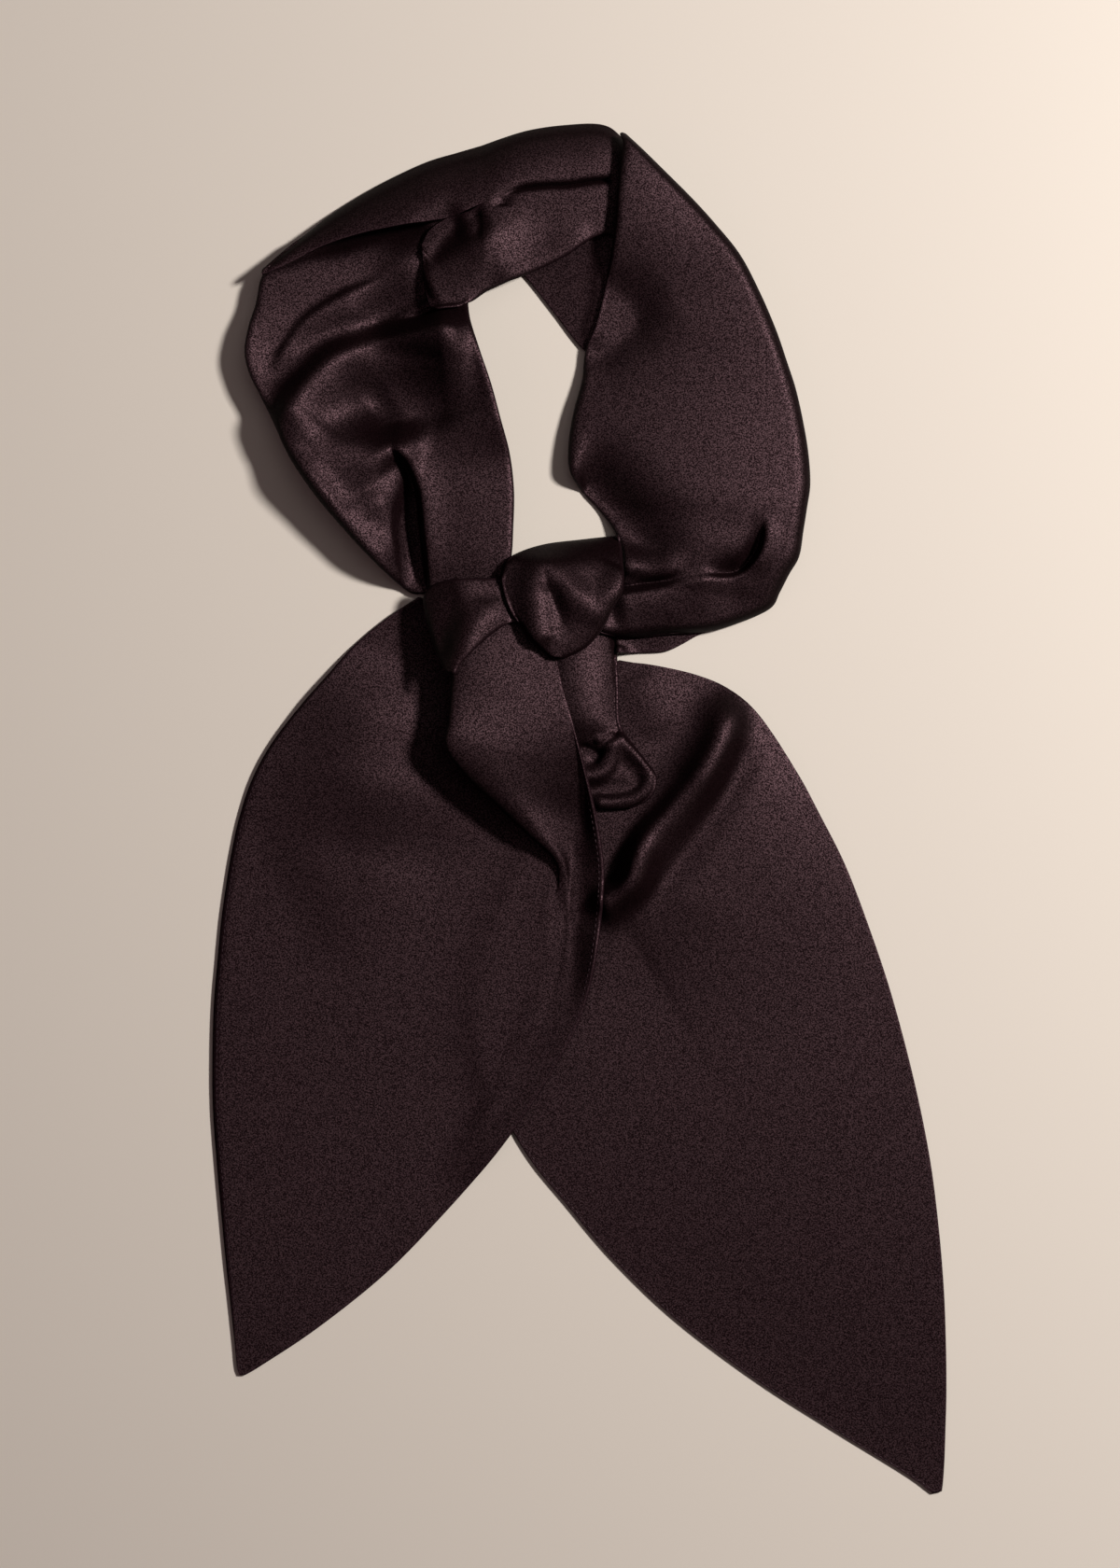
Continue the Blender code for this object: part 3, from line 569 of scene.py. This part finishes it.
def seam_line(grid):
    """The stitches' line on the cloth's upper side, inside its first column."""
    reach = distance_in(grid)
    wide = reach[:, -1] > LEAST_WIDTH * STITCH_IN
    spots = np.array([
        [np.interp(STITCH_IN, reach[row], grid[row, :, axis]) for axis in range(3)]
        for row in np.flatnonzero(wide)
    ])
    along = np.gradient(grid, axis=0)[wide]
    across = np.gradient(grid, axis=1)[wide]
    normal = np.cross(along, across)[:, FACING_COLUMNS].mean(axis=1)
    normal *= np.sign(normal[:, 2:3]) / np.linalg.norm(normal, axis=1, keepdims=True)
    return spots + normal * (CLOTH / 2 + STITCH_PROUD)


def sew(name, grid):
    """Edge stitches down both sides of one end."""
    points, steps = [], []
    for line in (seam_line(grid), seam_line(grid[:, ::-1])):
        steps += [(len(points) + i, len(points) + i + 1) for i in range(len(line) - 1)]
        points += [tuple(point) for point in (line - MIDDLE) * MM]
    mesh = bpy.data.meshes.new(name)
    mesh.from_pydata(points, steps, [])
    path = bpy.data.objects.new(name + "_path", mesh)
    bpy.context.scene.collection.objects.link(path)
    maker = path.modifiers.new("stitches", "NODES")
    maker.node_group = edge_stitches
    maker[stitch_sockets["Pitch"]] = STITCH_PITCH
    maker[stitch_sockets["Length"]] = STITCH_LENGTH
    maker[stitch_sockets["Thickness"]] = STITCH_THICKNESS
    maker[stitch_sockets["Seed"]] = STITCH_SEED
    maker[stitch_sockets["Thread"]] = thread
    graph = bpy.context.evaluated_depsgraph_get()
    made = bpy.data.meshes.new_from_object(path.evaluated_get(graph))
    bpy.data.objects.remove(path)
    made.name = name
    stitches = bpy.data.objects.new(name, made)
    bpy.context.scene.collection.objects.link(stitches)
    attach(stitches, "root")
    return stitches


right_stitches = sew("right_end_stitches", tail_right)
cloth_piece(
    "right_end", [tail_right], ["tail_right"],
)

# ---------------------------------------------------------------- the right end's stem
# Where the same end comes from under the knot its satin is gathered in a narrow
# stem, which opens in a puckered pocket over the panel. It is cut in one with it.

STEM_EDGES = (
    # left x, y, z, right x, y, z, arch
    (-8, 76, 10, 13, 76, 5, 4),
    (-9, 64, 10, 15.2, 64, 4, 4),
    (-9, 50, 10, 15.8, 50, 4, 4),
    (-9, 38, 8, 16.4, 36, 4, 4),
    (-8, 29, 5, 20, 29.5, 4, 2),
    (-7, 22, 5, 27, 20.5, 5, 0),
    (-5, 15, 5, 31.5, 13.5, 5, 0),
    (-2, 8, 4.5, 29.5, 6, 5, 0),
    (2, 3.5, 4, 22, 1.5, 4.2, 0),
    (6, 1.5, 3.6, 14, 0.6, 3.6, 0),
)
STEM_FOLDS = (
    # height, width to its left, width to its right, fade in, fade out, path
    # the pocket's rim
    (3.6, 4.2, 4.2, 0.06, 0.1, (
        (15, 32), (19.5, 27.5), (24, 23.5), (28, 19), (29.5, 14.5), (27.5, 9), (23.5, 5.2),
        (17.5, 3.6), (10, 3.2), (4, 4),
    )),
    # the inner rim
    (3.2, 3.2, 3.6, 0.12, 0.12, ((12, 30), (13.5, 24), (12.5, 19), (9, 15.2), (4, 14), (-2, 15))),
    # a pucker under the stem
    (1.5, 1.5, 1.5, 0.2, 0.2, ((6, 28.6), (11, 29.6), (15.5, 31))),
    # the hollow at the stem's foot
    (-5.5, 2.4, 3, 0.3, 0.3, ((-2, 25), (3, 25), (7, 22.5), (10, 20))),
    # the hollow inside the rim
    (-4, 3.2, 3.2, 0.3, 0.3, ((3, 8.5), (14, 8.5), (22, 10.5), (25, 16))),
)
stem = ribbon(STEM_EDGES, along=110, across=64, right_roll=(3, 2.5))
stem = drape(add_folds(stem, STEM_FOLDS), [surface(tail_right)])
cloth_piece(
    "right_end_stem", [stem], ["tail_right_stem"],
)

# ---------------------------------------------------------------- the ring's under layers
# The ring is the scarf's middle, the same two layers of satin with no seam across.
# It turns over itself at the upper right, where its inner side shows. Below, a
# lower layer goes back to the knot.

TOP_UNDER_EDGES = (
    # left x, y, z, right x, y, z, arch
    (-30, 226, 0.8, -14, 262, 1.5, 0),
    (-22, 220, 0.8, 2, 262, 3, 0),
    (-10, 205, 0.8, 22, 252, 6, 0),
    (1, 191, 1, 42, 238, 7, 0),
    (14, 180, 1, 56, 222, 6, 0),
    (26, 174, 1, 62, 208, 4, 0),
)
TOP_UNDER_FOLDS = (
    # height, width to its left, width to its right, fade in, fade out, path
    # a soft pleat
    (1.5, 2.0, 9, 0.2, 0.2, ((2, 188), (5.5, 200), (8.5, 212), (9, 226), (8, 236))),
)
top_under = ribbon(TOP_UNDER_EDGES, along=50, across=40)
top_under = drape(add_folds(top_under, TOP_UNDER_FOLDS), [])
cloth_piece(
    "ring_inner_turn", [top_under], ["band_top_under"],
)

RETURN_UNDER_EDGES = (
    # left x, y, z, right x, y, z, arch
    (58, 76, 1, 58, 83, 2.5, 0),
    (48.5, 71.8, 1, 49, 82, 3, 0),
    (42.5, 68.4, 1, 42, 82, 3.5, 0),
    (36, 65.6, 1, 35, 82, 4, 0),
    (26, 65, 1.2, 25, 82, 4, 0),
    (15.8, 64.7, 2, 14, 79, 4.5, 0),
)
return_under = ribbon(RETURN_UNDER_EDGES, along=40, across=20)
return_under = drape(return_under, [surface(tail_right), surface(stem)])
cloth_piece(
    "ring_lower_layer", [return_under], ["band_return_under"],
)

# ---------------------------------------------------------------- the ring's left side
# The satin from under the top of the ring down to the knot. Its edges stand off
# the surface, and between them it sags in soft cross folds and one deep pleat
# that the knot draws in.

BAND_LEFT_EDGES = (
    # left x, y, z, right x, y, z, arch
    (-117, 231.5, 4.5, -42, 259, 6, 0),
    (-125, 224.5, 6.5, -42.5, 250, 6, 0),
    (-129.9, 218.5, 9, -43, 241, 7, 0),
    (-132, 208, 10, -45, 229, 7, -1),
    (-135, 198, 11.5, -46, 216, 7.5, -3),
    (-136.5, 188, 12, -45.2, 202, 9.5, -7),
    (-134.5, 179, 12, -41, 188, 12.5, -9),
    (-130.3, 170.6, 12, -36.4, 174.4, 13, -9),
    (-124.5, 159, 8, -32.5, 160, 13, -5),
    (-118, 145, 5, -28.8, 146, 13, 0),
    (-108, 130, 3.5, -27.1, 131, 13, 2.5),
    (-95, 114.5, 3.5, -27.4, 116, 13, 2.5),
    (-81, 99.8, 4, -28.2, 104, 13, 2),
    (-70, 90.6, 5, -31, 96, 12, 1),
    (-64, 89.6, 5, -34, 91, 11.5, 0),
)
BAND_LEFT_FOLDS = (
    # height, width to its left, width to its right, fade in, fade out, path
    # the dip under the top
    (-8, 4, 11, 0.25, 0.2, ((-117, 236), (-97, 244), (-78, 247.5), (-60, 250))),
    # the upper cross fold
    (3, 2.8, 12, 0.2, 0.3, (
        (-126, 176), (-119.5, 189), (-110, 201), (-96, 210), (-84, 215.5), (-72, 221),
    )),
    # the main cross fold
    (13, 8, 22, 0.15, 0.16, (
        (-126, 151), (-119, 160), (-113, 168.5), (-107, 176), (-99, 183.5), (-89, 188),
        (-79, 190.5), (-69, 193), (-60, 195), (-51, 196), (-42, 197),
    )),
    # the hollow above its right half
    (-4.5, 13, 6, 0.3, 0.3, ((-94, 200), (-80, 202.5), (-68, 204), (-56, 204.5))),
    # the hollow below its left half
    (-4, 14, 14, 0.3, 0.3, ((-112, 152), (-100, 160), (-88, 166), (-76, 173))),
    # the lower cross fold
    (9, 15, 30, 0.15, 0.3, (
        (-116, 130), (-105, 138.5), (-92, 146.5), (-80, 150.5), (-70, 150), (-60, 147),
    )),
    # the sag down the middle
    (-8, 13, 26, 0.25, 0.25, ((-72, 146), (-78, 164), (-81, 182), (-77, 203))),
    # the rise under the lobe
    (4.5, 14, 11, 0.4, 0.1, ((-74, 236), (-68, 220), (-62, 204))),
    # the climb to the inner edge
    (7, 14, 27, 0.25, 0.3, (
        (-44, 216), (-42, 200), (-39, 186), (-35, 172), (-31, 156), (-28, 140),
    )),
    # the slit of the deep pleat
    (-8.2, 12, 0.9, 0.5, 0.14, (
        (-60.5, 80), (-62, 90), (-63.2, 100), (-64.8, 115), (-66.5, 130), (-70.5, 141),
        (-78, 149.5),
    )),
    # the lip along the slit
    (2, 1.2, 7, 0.4, 0.3, (
        (-60, 84), (-62, 100), (-63.5, 115), (-65.2, 130), (-69, 142), (-77, 150),
    )),
    # the crest left of the slit
    (3.5, 6, 13, 0.3, 0.3, ((-86, 134), (-81.5, 123), (-78, 112), (-74, 99))),
    # the roll along the outer edge
    (8, 8, 4, 0.2, 0.2, (
        (-128, 166), (-121, 152), (-114.5, 140), (-107, 128.5), (-94, 113), (-80, 98.5),
        (-70, 90),
    )),
)
band_left = ribbon(BAND_LEFT_EDGES, along=160, across=110, left_roll=(1.4, 2.5), right_roll=(1.2, 2))
band_left = drape(add_folds(band_left, BAND_LEFT_FOLDS), [])
cloth_piece(
    "ring_left_side", [band_left], ["band_left"],
)

# ---------------------------------------------------------------- the ring's top
# The satin is pleated along its length in an outer and an inner strip, joined by
# a saddle. Left of it the outer strip runs on to the corner over the ring's left
# side, and the inner one ends in a short lobe.

SADDLE_OUTER = (-40, 273.5, 3.5)
SADDLE_VALLEY = (-39, 248.5, 15)
SADDLE_INNER = (-38.3, 212.9, 10.5)
TOP_OUTER_EDGES = (
    # valley x, y, z, outline x, y, z, arch
    (34, 252, 7, 28, 264, 4, 1),
    (20, 257, 9.5, 17, 277.5, 3.5, 2),
    (8, 258.5, 11, 9, 282.3, 3.5, 2.8),
    (-6, 256.5, 12.5, -6, 282, 4, 3),
    (-20, 255, 14, -20, 280, 4.5, 3),
    (-31, 251, 15, -31, 276.7, 5, 3),
    (*SADDLE_VALLEY, *SADDLE_OUTER, 3),
)
TOP_LEFT_EDGES = (
    (*SADDLE_VALLEY, *SADDLE_OUTER, 3),
    (-50, 243.8, 15, -50, 270.6, 3.5, 3),
    (-62, 241.3, 15, -62, 267, 3.5, 3),
    (-76, 238.8, 14.5, -76, 260.6, 3.5, 2.5),
    (-91, 235.6, 13.5, -89, 253.5, 4, 2),
    (-105, 231, 12.5, -102, 245, 5, 1.5),
    (-117, 225, 12, -114, 235.1, 7.5, 1.5),
    (-127, 220.4, 11.8, -124, 226.5, 9.5, 0.5),
    (-129.8, 219.6, 11.8, -129.2, 221.8, 11, 0),
)
TOP_INNER_EDGES = (
    # inner edge x, y, z, valley x, y, z, arch
    (36, 238, 5, 34, 252, 7, 1),
    (20, 236, 7, 20, 257, 9.5, 1),
    (8, 236.5, 9, 8, 258.5, 11, 1),
    (-6, 227.6, 10, -6, 256.5, 12.5, 1),
    (-20, 220.6, 10.5, -20, 255, 14, 1),
    (-30, 216.6, 10.5, -31, 251, 15, 1),
    (*SADDLE_INNER, *SADDLE_VALLEY, 1.8),
)
TOP_LOBE_EDGES = (
    (*SADDLE_INNER, *SADDLE_VALLEY, 1.8),
    (-47.2, 206.7, 11.4, -46, 245, 12, 0.8),
    (-54, 205.2, 11.9, -54, 243, 10, 0.4),
    (-59.8, 205.5, 12.2, -61, 238, 9, 0.2),
    (-62.5, 212, 11.8, -64.5, 231, 8.5, 0),
)
TOP_FOLDS = (
    # height, width to its left, width to its right, fade in, fade out, path
    # the valley between the strips
    (-3, 1.6, 1.2, 0.12, 0.25, (
        (16, 259), (6, 258.3), (-4, 256.6), (-14, 256), (-24, 254.6), (-32, 251),
    )),
    # a dent in the saddle
    (-1.5, 3.5, 3.5, 0.4, 0.4, ((-35, 252), (-31, 249), (-30, 246))),
    # a pucker down the saddle
    (-1.8, 3, 3, 0.25, 0.3, ((-43.5, 247), (-41, 242), (-40.5, 237), (-43, 231))),
    # the trough above the lobe
    (-3.5, 8, 5, 0.3, 0.05, ((-46, 244), (-54, 241.5), (-60, 238), (-67, 231))),
    # the lobe's crest, which runs on in the inner strip
    (4, 7.5, 20, 0.1, 0.4, (
        (-66, 216), (-56, 221), (-47, 226.5), (-38, 232), (-28, 237), (-14, 242),
    )),
    # the inner strip's rim
    (1.4, 6, 3, 0.2, 0.2, ((-36, 214), (-22, 220.5), (-8, 227.5), (8, 237))),
)
STRIP_ROWS = 72
OUTER_COLUMNS = 34
INNER_COLUMNS = 46
OUTLINE_ROLL = (4, 7)
INNER_ROLL = (1, 1.5)
under_top = [surface(band_left), surface(top_under)]
top_outer = ribbon(TOP_OUTER_EDGES, along=STRIP_ROWS, across=OUTER_COLUMNS, right_roll=OUTLINE_ROLL)
top_left = ribbon(TOP_LEFT_EDGES, along=96, across=OUTER_COLUMNS, right_roll=OUTLINE_ROLL)
top_inner = ribbon(TOP_INNER_EDGES, along=STRIP_ROWS, across=INNER_COLUMNS, left_roll=INNER_ROLL)
top_lobe = ribbon(TOP_LOBE_EDGES, along=40, across=INNER_COLUMNS, left_roll=INNER_ROLL)
top_whole = np.concatenate([top_inner, top_outer[:, 1:]], axis=1)
top_whole = drape(add_folds(top_whole, TOP_FOLDS), under_top)
top_left = drape(add_folds(top_left, TOP_FOLDS), under_top)
top_lobe = drape(add_folds(top_lobe, TOP_FOLDS), under_top)
top_left[0] = top_whole[-1, INNER_COLUMNS - 1:]
top_lobe[0] = top_whole[-1, :INNER_COLUMNS]
cloth_piece(
    "ring_top", [top_whole, top_left, top_lobe], ["band_top"],
)

# ---------------------------------------------------------------- the ring's right side
# The satin laid over the top, down the right and round the lower corner, where a
# deep pleat opens, then back to the knot, which holds it.

BAND_RIGHT_EDGES = (
    # inner x, y, z, outer x, y, z, arch
    (17.5, 277.5, 13, 19.5, 277, 13, 0),
    (18.7, 272, 16, 27, 269.6, 15, 0.5),
    (17.3, 263, 17, 36, 260.7, 15.5, 1),
    (16.2, 252, 17, 46.4, 250.3, 15.5, 1),
    (15.4, 240, 16, 56, 239.7, 15.5, 1),
    (13.6, 227, 13, 66, 227.2, 15.5, 1),
    (11, 214, 8, 74, 212, 15, 2),
    (7.4, 200, 5.5, 80.5, 197, 14.5, 3),
    (3.3, 189, 5, 85, 184, 14, 3),
    (2, 177, 6, 88.7, 172.5, 14, 3),
    (-1.3, 164.8, 7, 91.8, 158.5, 14, 3.5),
    (-3.5, 152, 8, 93.8, 146, 14, 4),
    (-3.3, 140, 9, 94.5, 134, 14, 4),
    (1.5, 132, 9, 93.2, 124.5, 14.5, 4),
    (8.5, 124.5, 10, 91.7, 115, 14.5, 3),
    (14.8, 116, 13, 90, 104.5, 14, 2),
    (18.4, 107, 14, 86, 97.3, 13, 1),
    (18.8, 100, 12.5, 82.3, 90, 11, 1),
    (18.5, 96.2, 10, 78.5, 83.5, 9, 1),
    (18, 93.8, 10, 66, 77.8, 8, 1),
    (17, 91.8, 10, 53, 74.2, 8, 1),
    (14, 90, 10, 36, 72.8, 8, 1),
    (8, 88, 11, 22, 71.4, 9.5, 0.5),
    (1, 86, 13, 11, 72.5, 14, 0),
    (-5, 85, 13, 3, 75, 15, 0),
)
BAND_RIGHT_FOLDS = (
    # height, width to its left, width to its right, fade in, fade out, path
    # the sag below the top
    (-6, 14, 14, 0.3, 0.4, ((-6, 191), (5, 196), (15, 201), (26, 206), (39, 212))),
    # the deep hollow from the inner edge
    (-9, 13, 11, 0.2, 0.35, (
        (-4, 138), (4, 135), (11, 128), (17.5, 119), (25, 110.5), (35, 103.5), (46, 98),
    )),
    # the crest below it
    (3, 7, 6, 0.15, 0.3, ((15, 101), (25, 100.5), (34, 99.8), (46, 98.3))),
    # a crease on the strip
    (-2.5, 2, 3, 0.1, 0.3, ((12, 90.5), (22, 92), (34, 94), (46, 97))),
    # the strip's crest
    (3.5, 3.5, 14, 0.15, 0.3, ((12, 86.5), (24, 88.5), (36, 90.5), (50, 93), (64, 96.5))),
    # the corner's pleat
    (-6, 1.4, 5, 0.45, 0.2, (
        (74.5, 122), (74.8, 114), (73, 107), (69, 101), (63, 97.5), (50, 96.8),
    )),
    # its lip
    (1.8, 4, 1.6, 0.3, 0.3, ((76.5, 121), (76.8, 112), (74.2, 103.5), (68, 98))),
)
band_right = ribbon(BAND_RIGHT_EDGES, along=250, across=110, left_roll=(2, 3), right_roll=(6.5, 6))
band_right = add_folds(band_right, BAND_RIGHT_FOLDS)
under_right = [surface(top_whole), surface(top_under), surface(return_under), surface(stem)]
band_right = drape(band_right, under_right)
cloth_piece(
    "ring_right_side", [band_right], ["band_right"],
)

# ---------------------------------------------------------------- the left end
# The upper end, made as the right one is. It leaves the knot with a deep pleat:
# the panel passes under a flap, turns back, and turns again at the flap's edge.
# The pleat dies out half-way down the right edge, and the rest lies flat.

TAIL_LEFT_OUTLINE = (
    # left x, y, z, right x, y, z
    (-66, 87.5, 3, -14, 80, 15.5),
    (-78, 80, 1.6, -11.5, 70, 16.5),
    (-92, 68.5, 0.8, -8.9, 60, 18.5),
    (-104, 55, 0.8, -6.5, 49, 19.5),
    (-115, 42.5, 0.8, -3, 37, 20),
    (-126.5, 27.5, 0.8, 0.4, 24.5, 19.5),
    (-134.5, 13, 0.8, 3.6, 12, 16.5),
    (-140, -3, 0.8, 6.8, -1.5, 13),
    (-143.3, -18, 0.8, 9, -14, 11),
    (-145.6, -32, 0.8, 10.2, -24.5, 9.8),
    (-147.5, -46, 0.8, 9.8, -35.4, 9.2),
    (-149, -62, 0.8, 8.4, -50, 7.8),
    (-150.5, -80, 0.8, 5.5, -68, 5.6),
    (-151.1, -101, 0.8, 0.5, -86, 3.8),
    (-150.9, -123, 0.8, -8.5, -103.5, 3),
    (-149.2, -146.7, 0.8, -20, -122, 3),
    (-147.3, -168, 0.8, -36, -144, 1.2),
    (-145.5, -187, 0.8, -56, -167, 0.8),
    (-143.7, -203, 0.8, -80, -191.5, 0.8),
    (-142, -219, 0.8, -108, -213.9, 0.8),
    (-141, -229.5, 0.8, -131, -229.2, 0.8),
    (-139.9, -233, 0.8, -137.4, -233, 0.8),
)
TAIL_LEFT_PLEAT = (
    # hidden turn x, y, z, flap edge x, y, z, crest height, trough x, y, z
    (-45, 84, 3, -52, 81, 11, 15.5, -22, 82, 15.5),
    (-42, 73, 3, -52, 68, 15.5, 19, -17, 72, 17),
    (-39, 63, 3, -51.5, 57, 17.5, 21, -13, 62, 18.3),
    (-36, 52, 3, -51.8, 48, 18.5, 22.3, -10.5, 50, 20),
    (-34, 40, 3, -52.6, 37, 19, 22.8, -7.5, 37, 20.4),
    (-32, 27, 3, -53.7, 26, 18.5, 22.3, -4, 25, 18.6),
    (-26, 14, 3, -46.5, 15, 16, 20, -1, 12, 13.5),
    (-15, 1, 3, -34, 3, 13, 16.3, -1.5, -1, 7.6),
    (-8, -12, 3, -20.5, -9.8, 10, 12, -1.5, -12.5, 5),
    (-8, -24, 3, -9.6, -20.5, 7, 7.5, -1, -23, 3.6),
    (-11, -35, 2.9, -7, -32, 4.6, 4.6, -1, -34.5, 3),
    (-12, -49, 2.8, -6, -47, 3.2, 3.2, -0.5, -49, 3),
    (-14, -67, 2.8, -8, -66, 2.9, 2.9, -1, -67, 2.9),
)
TAIL_LEFT_FOLDS = (
    # height, width to its left, width to its right, fade in, fade out, path
    # a low swell across the panel
    (2.5, 30, 34, 0.4, 0.4, ((-128, -30), (-95, -18), (-55, -20))),
    # a long swell down it
    (7, 28, 40, 0.4, 0.4, ((-92, -20), (-88, 10), (-82, 40), (-73, 65))),
    # the right edge, raised below the pleat
    (5.5, 10, 17, 0.25, 0.2, (
        (18.5, -41), (17, -54), (14, -71), (8.5, -90), (-1, -108.5), (-13, -127.5), (-29.5, -150),
        (-44, -167),
    )),
)
FLAT_FRACTIONS = (0.86, 0.9, 0.93, 0.96)  # where the pleat's stations lie below it
PANEL_FRACTIONS = (0.33, 0.66, 0.9)  # the panel's own stations, left of the hidden turn
CREST_FRACTION = 0.3  # how far the crest lies from the flap's edge to the trough
STATION_STEPS = (12, 12, 9, 6, 13, 9, 18, 14)  # columns between one station and the next
STATION_DETAIL = 12  # samples between two stations, before the even ones are read off


def tail_left_sections():
    """One row of stations a section: the pleat's own, or evenly laid ones."""
    sections = []
    for number, outline in enumerate(TAIL_LEFT_OUTLINE):
        left, right = np.array(outline[:3]), np.array(outline[3:])
        if number < len(TAIL_LEFT_PLEAT):
            pleat = TAIL_LEFT_PLEAT[number]
            turn, edge, trough = np.array(pleat[:3]), np.array(pleat[3:6]), np.array(pleat[7:])
            crest = edge + CREST_FRACTION * (trough - edge)
            crest[2] = pleat[6]
        else:
            turn, edge, crest, trough = (
                left + fraction * (right - left) for fraction in FLAT_FRACTIONS
            )
        inner = [left + fraction * (turn - left) for fraction in PANEL_FRACTIONS]
        for point in inner:
            point[2] = TABLE_LIE
        sections.append([left, *inner, turn, edge, crest, trough, right])
    return np.array(sections)


def loft_stations(sections, along, steps, crowd):
    """Smooth down each station, then smooth across the stations."""
    count = sections.shape[1]
    lines = np.stack([catmull_rom(sections[:, i], along, crowd) for i in range(count)], axis=1)
    even = np.concatenate(
        [np.arange(step) / step + number for number, step in enumerate(steps)] + [[count - 1]]
    )
    stops = even * STATION_DETAIL
    rows = []
    for line in lines:
        dense = catmull_rom(line, STATION_DETAIL * (count - 1) + 1)
        rows.append([np.interp(stops, np.arange(len(dense)), dense[:, k]) for k in range(3)])
    return np.array(rows).transpose(0, 2, 1)


tail_left = loft_stations(tail_left_sections(), 230, STATION_STEPS, crowd=1.4)
tail_left = add_folds(tail_left, TAIL_LEFT_FOLDS)
tail_left = drape(tail_left, [surface(tail_right), surface(stem)])
left_stitches = sew("left_end_stitches", tail_left)
cloth_piece(
    "left_end", [tail_left], ["tail_left"],
)

# ---------------------------------------------------------------- the knot's left loop
# The cuff of gathered satin that passes over the left end and the ring's left
# side where they meet, and holds both. It goes on under the knot's turn.

CUFF_EDGES = (
    # upper x, y, z, lower x, y, z, arch
    (-24, 93, 9, -24, 77, 13, 2),
    (-30, 94.3, 14, -29.6, 76.3, 17, 2),
    (-40, 94.3, 17, -37.5, 70.8, 19.5, 2),
    (-48, 94, 18.5, -44, 64.7, 21.5, 2),
    (-54, 93.5, 16.5, -48.5, 60, 21.5, 1.5),
    (-60, 91.5, 14, -51.7, 55, 20.5, 1),
    (-63, 87, 12.5, -55.5, 60, 18.5, 0.5),
    (-62.5, 80, 12, -59, 67, 15, 0),
)
CUFF_FOLDS = (
    # height, width to its left, width to its right, fade in, fade out, path
    # the cuff's crest
    (3.5, 7, 13, 0.04, 0.25, (
        (-50.5, 55), (-49.5, 59), (-48, 62.5), (-46, 67), (-42, 72), (-38, 78), (-35, 83),
        (-33.5, 89),
    )),
    # a dent left of it
    (-1, 4, 5, 0.2, 0.3, ((-55, 61), (-55, 70), (-52, 80), (-50, 90))),
)
CUFF_ROLL = (0.8, 1.5)
cuff = ribbon(CUFF_EDGES, along=70, across=48, left_roll=CUFF_ROLL, right_roll=CUFF_ROLL)
cuff = drape(add_folds(cuff, CUFF_FOLDS), [surface(tail_left), surface(band_left)])
cloth_piece(
    "knot_left_loop", [cuff], ["knot_loop_left"],
)

# ---------------------------------------------------------------- the turn over the knot
# The gathered satin that closes the knot. It passes over everything else, from
# the ring's right side down to a point over the stem.

WRAP_EDGES = (
    # left x, y, z, right x, y, z, arch
    (3, 111, 5, 16.4, 112.4, 5, 0.5),
    (-13, 108.8, 9.5, 16.8, 109.5, 9.5, 1.5),
    (-24, 105.2, 14, 17.2, 105, 14, 2.5),
    (-29.6, 101, 17, 17.5, 100, 17.5, 3.5),
    (-31.2, 94.5, 18, 17.8, 94.5, 20, 3.5),
    (-29.8, 87, 19, 17, 88.6, 21, 3.5),
    (-27.2, 80.6, 19.5, 13.4, 82.6, 20.5, 3.5),
    (-23.5, 75.5, 20.5, 11, 77.5, 20.5, 3),
    (-21, 71.8, 21, 7.6, 72, 20.5, 3),
    (-17.8, 68.2, 21.5, 2, 66.4, 20.5, 2),
    (-11.5, 62.8, 21.5, -6.5, 62.2, 21, 1),
)
WRAP_FOLDS = (
    # height, width to its left, width to its right, fade in, fade out, path
    # the crest up the left, over and down to the right
    (3.7, 7, 6.8, 0.08, 0.02, (
        (-13.5, 65), (-16, 71), (-17, 80), (-17.5, 88), (-17, 94), (-14, 98), (-10.5, 96.5),
        (-7, 92.5), (-3, 88), (2, 84), (6, 81.5), (9.5, 82.5), (13, 86), (17, 92), (20, 98),
    )),
    # the trough down the middle
    (-2, 4.5, 6, 0.2, 0.35, ((-12, 94), (-10.5, 87), (-9, 80), (-8, 73), (-6.5, 67))),
)
WRAP_ROLL = (1.6, 2.2)
wrap = ribbon(WRAP_EDGES, along=130, across=96, left_roll=WRAP_ROLL, right_roll=WRAP_ROLL)
beneath_wrap = (stem, cuff, band_left, tail_left, band_right, return_under)
under_wrap = [surface(grid) for grid in beneath_wrap]
wrap = drape(add_folds(wrap, WRAP_FOLDS), under_wrap)
cloth_piece(
    "knot_turn", [wrap], ["knot_wrap"],
)
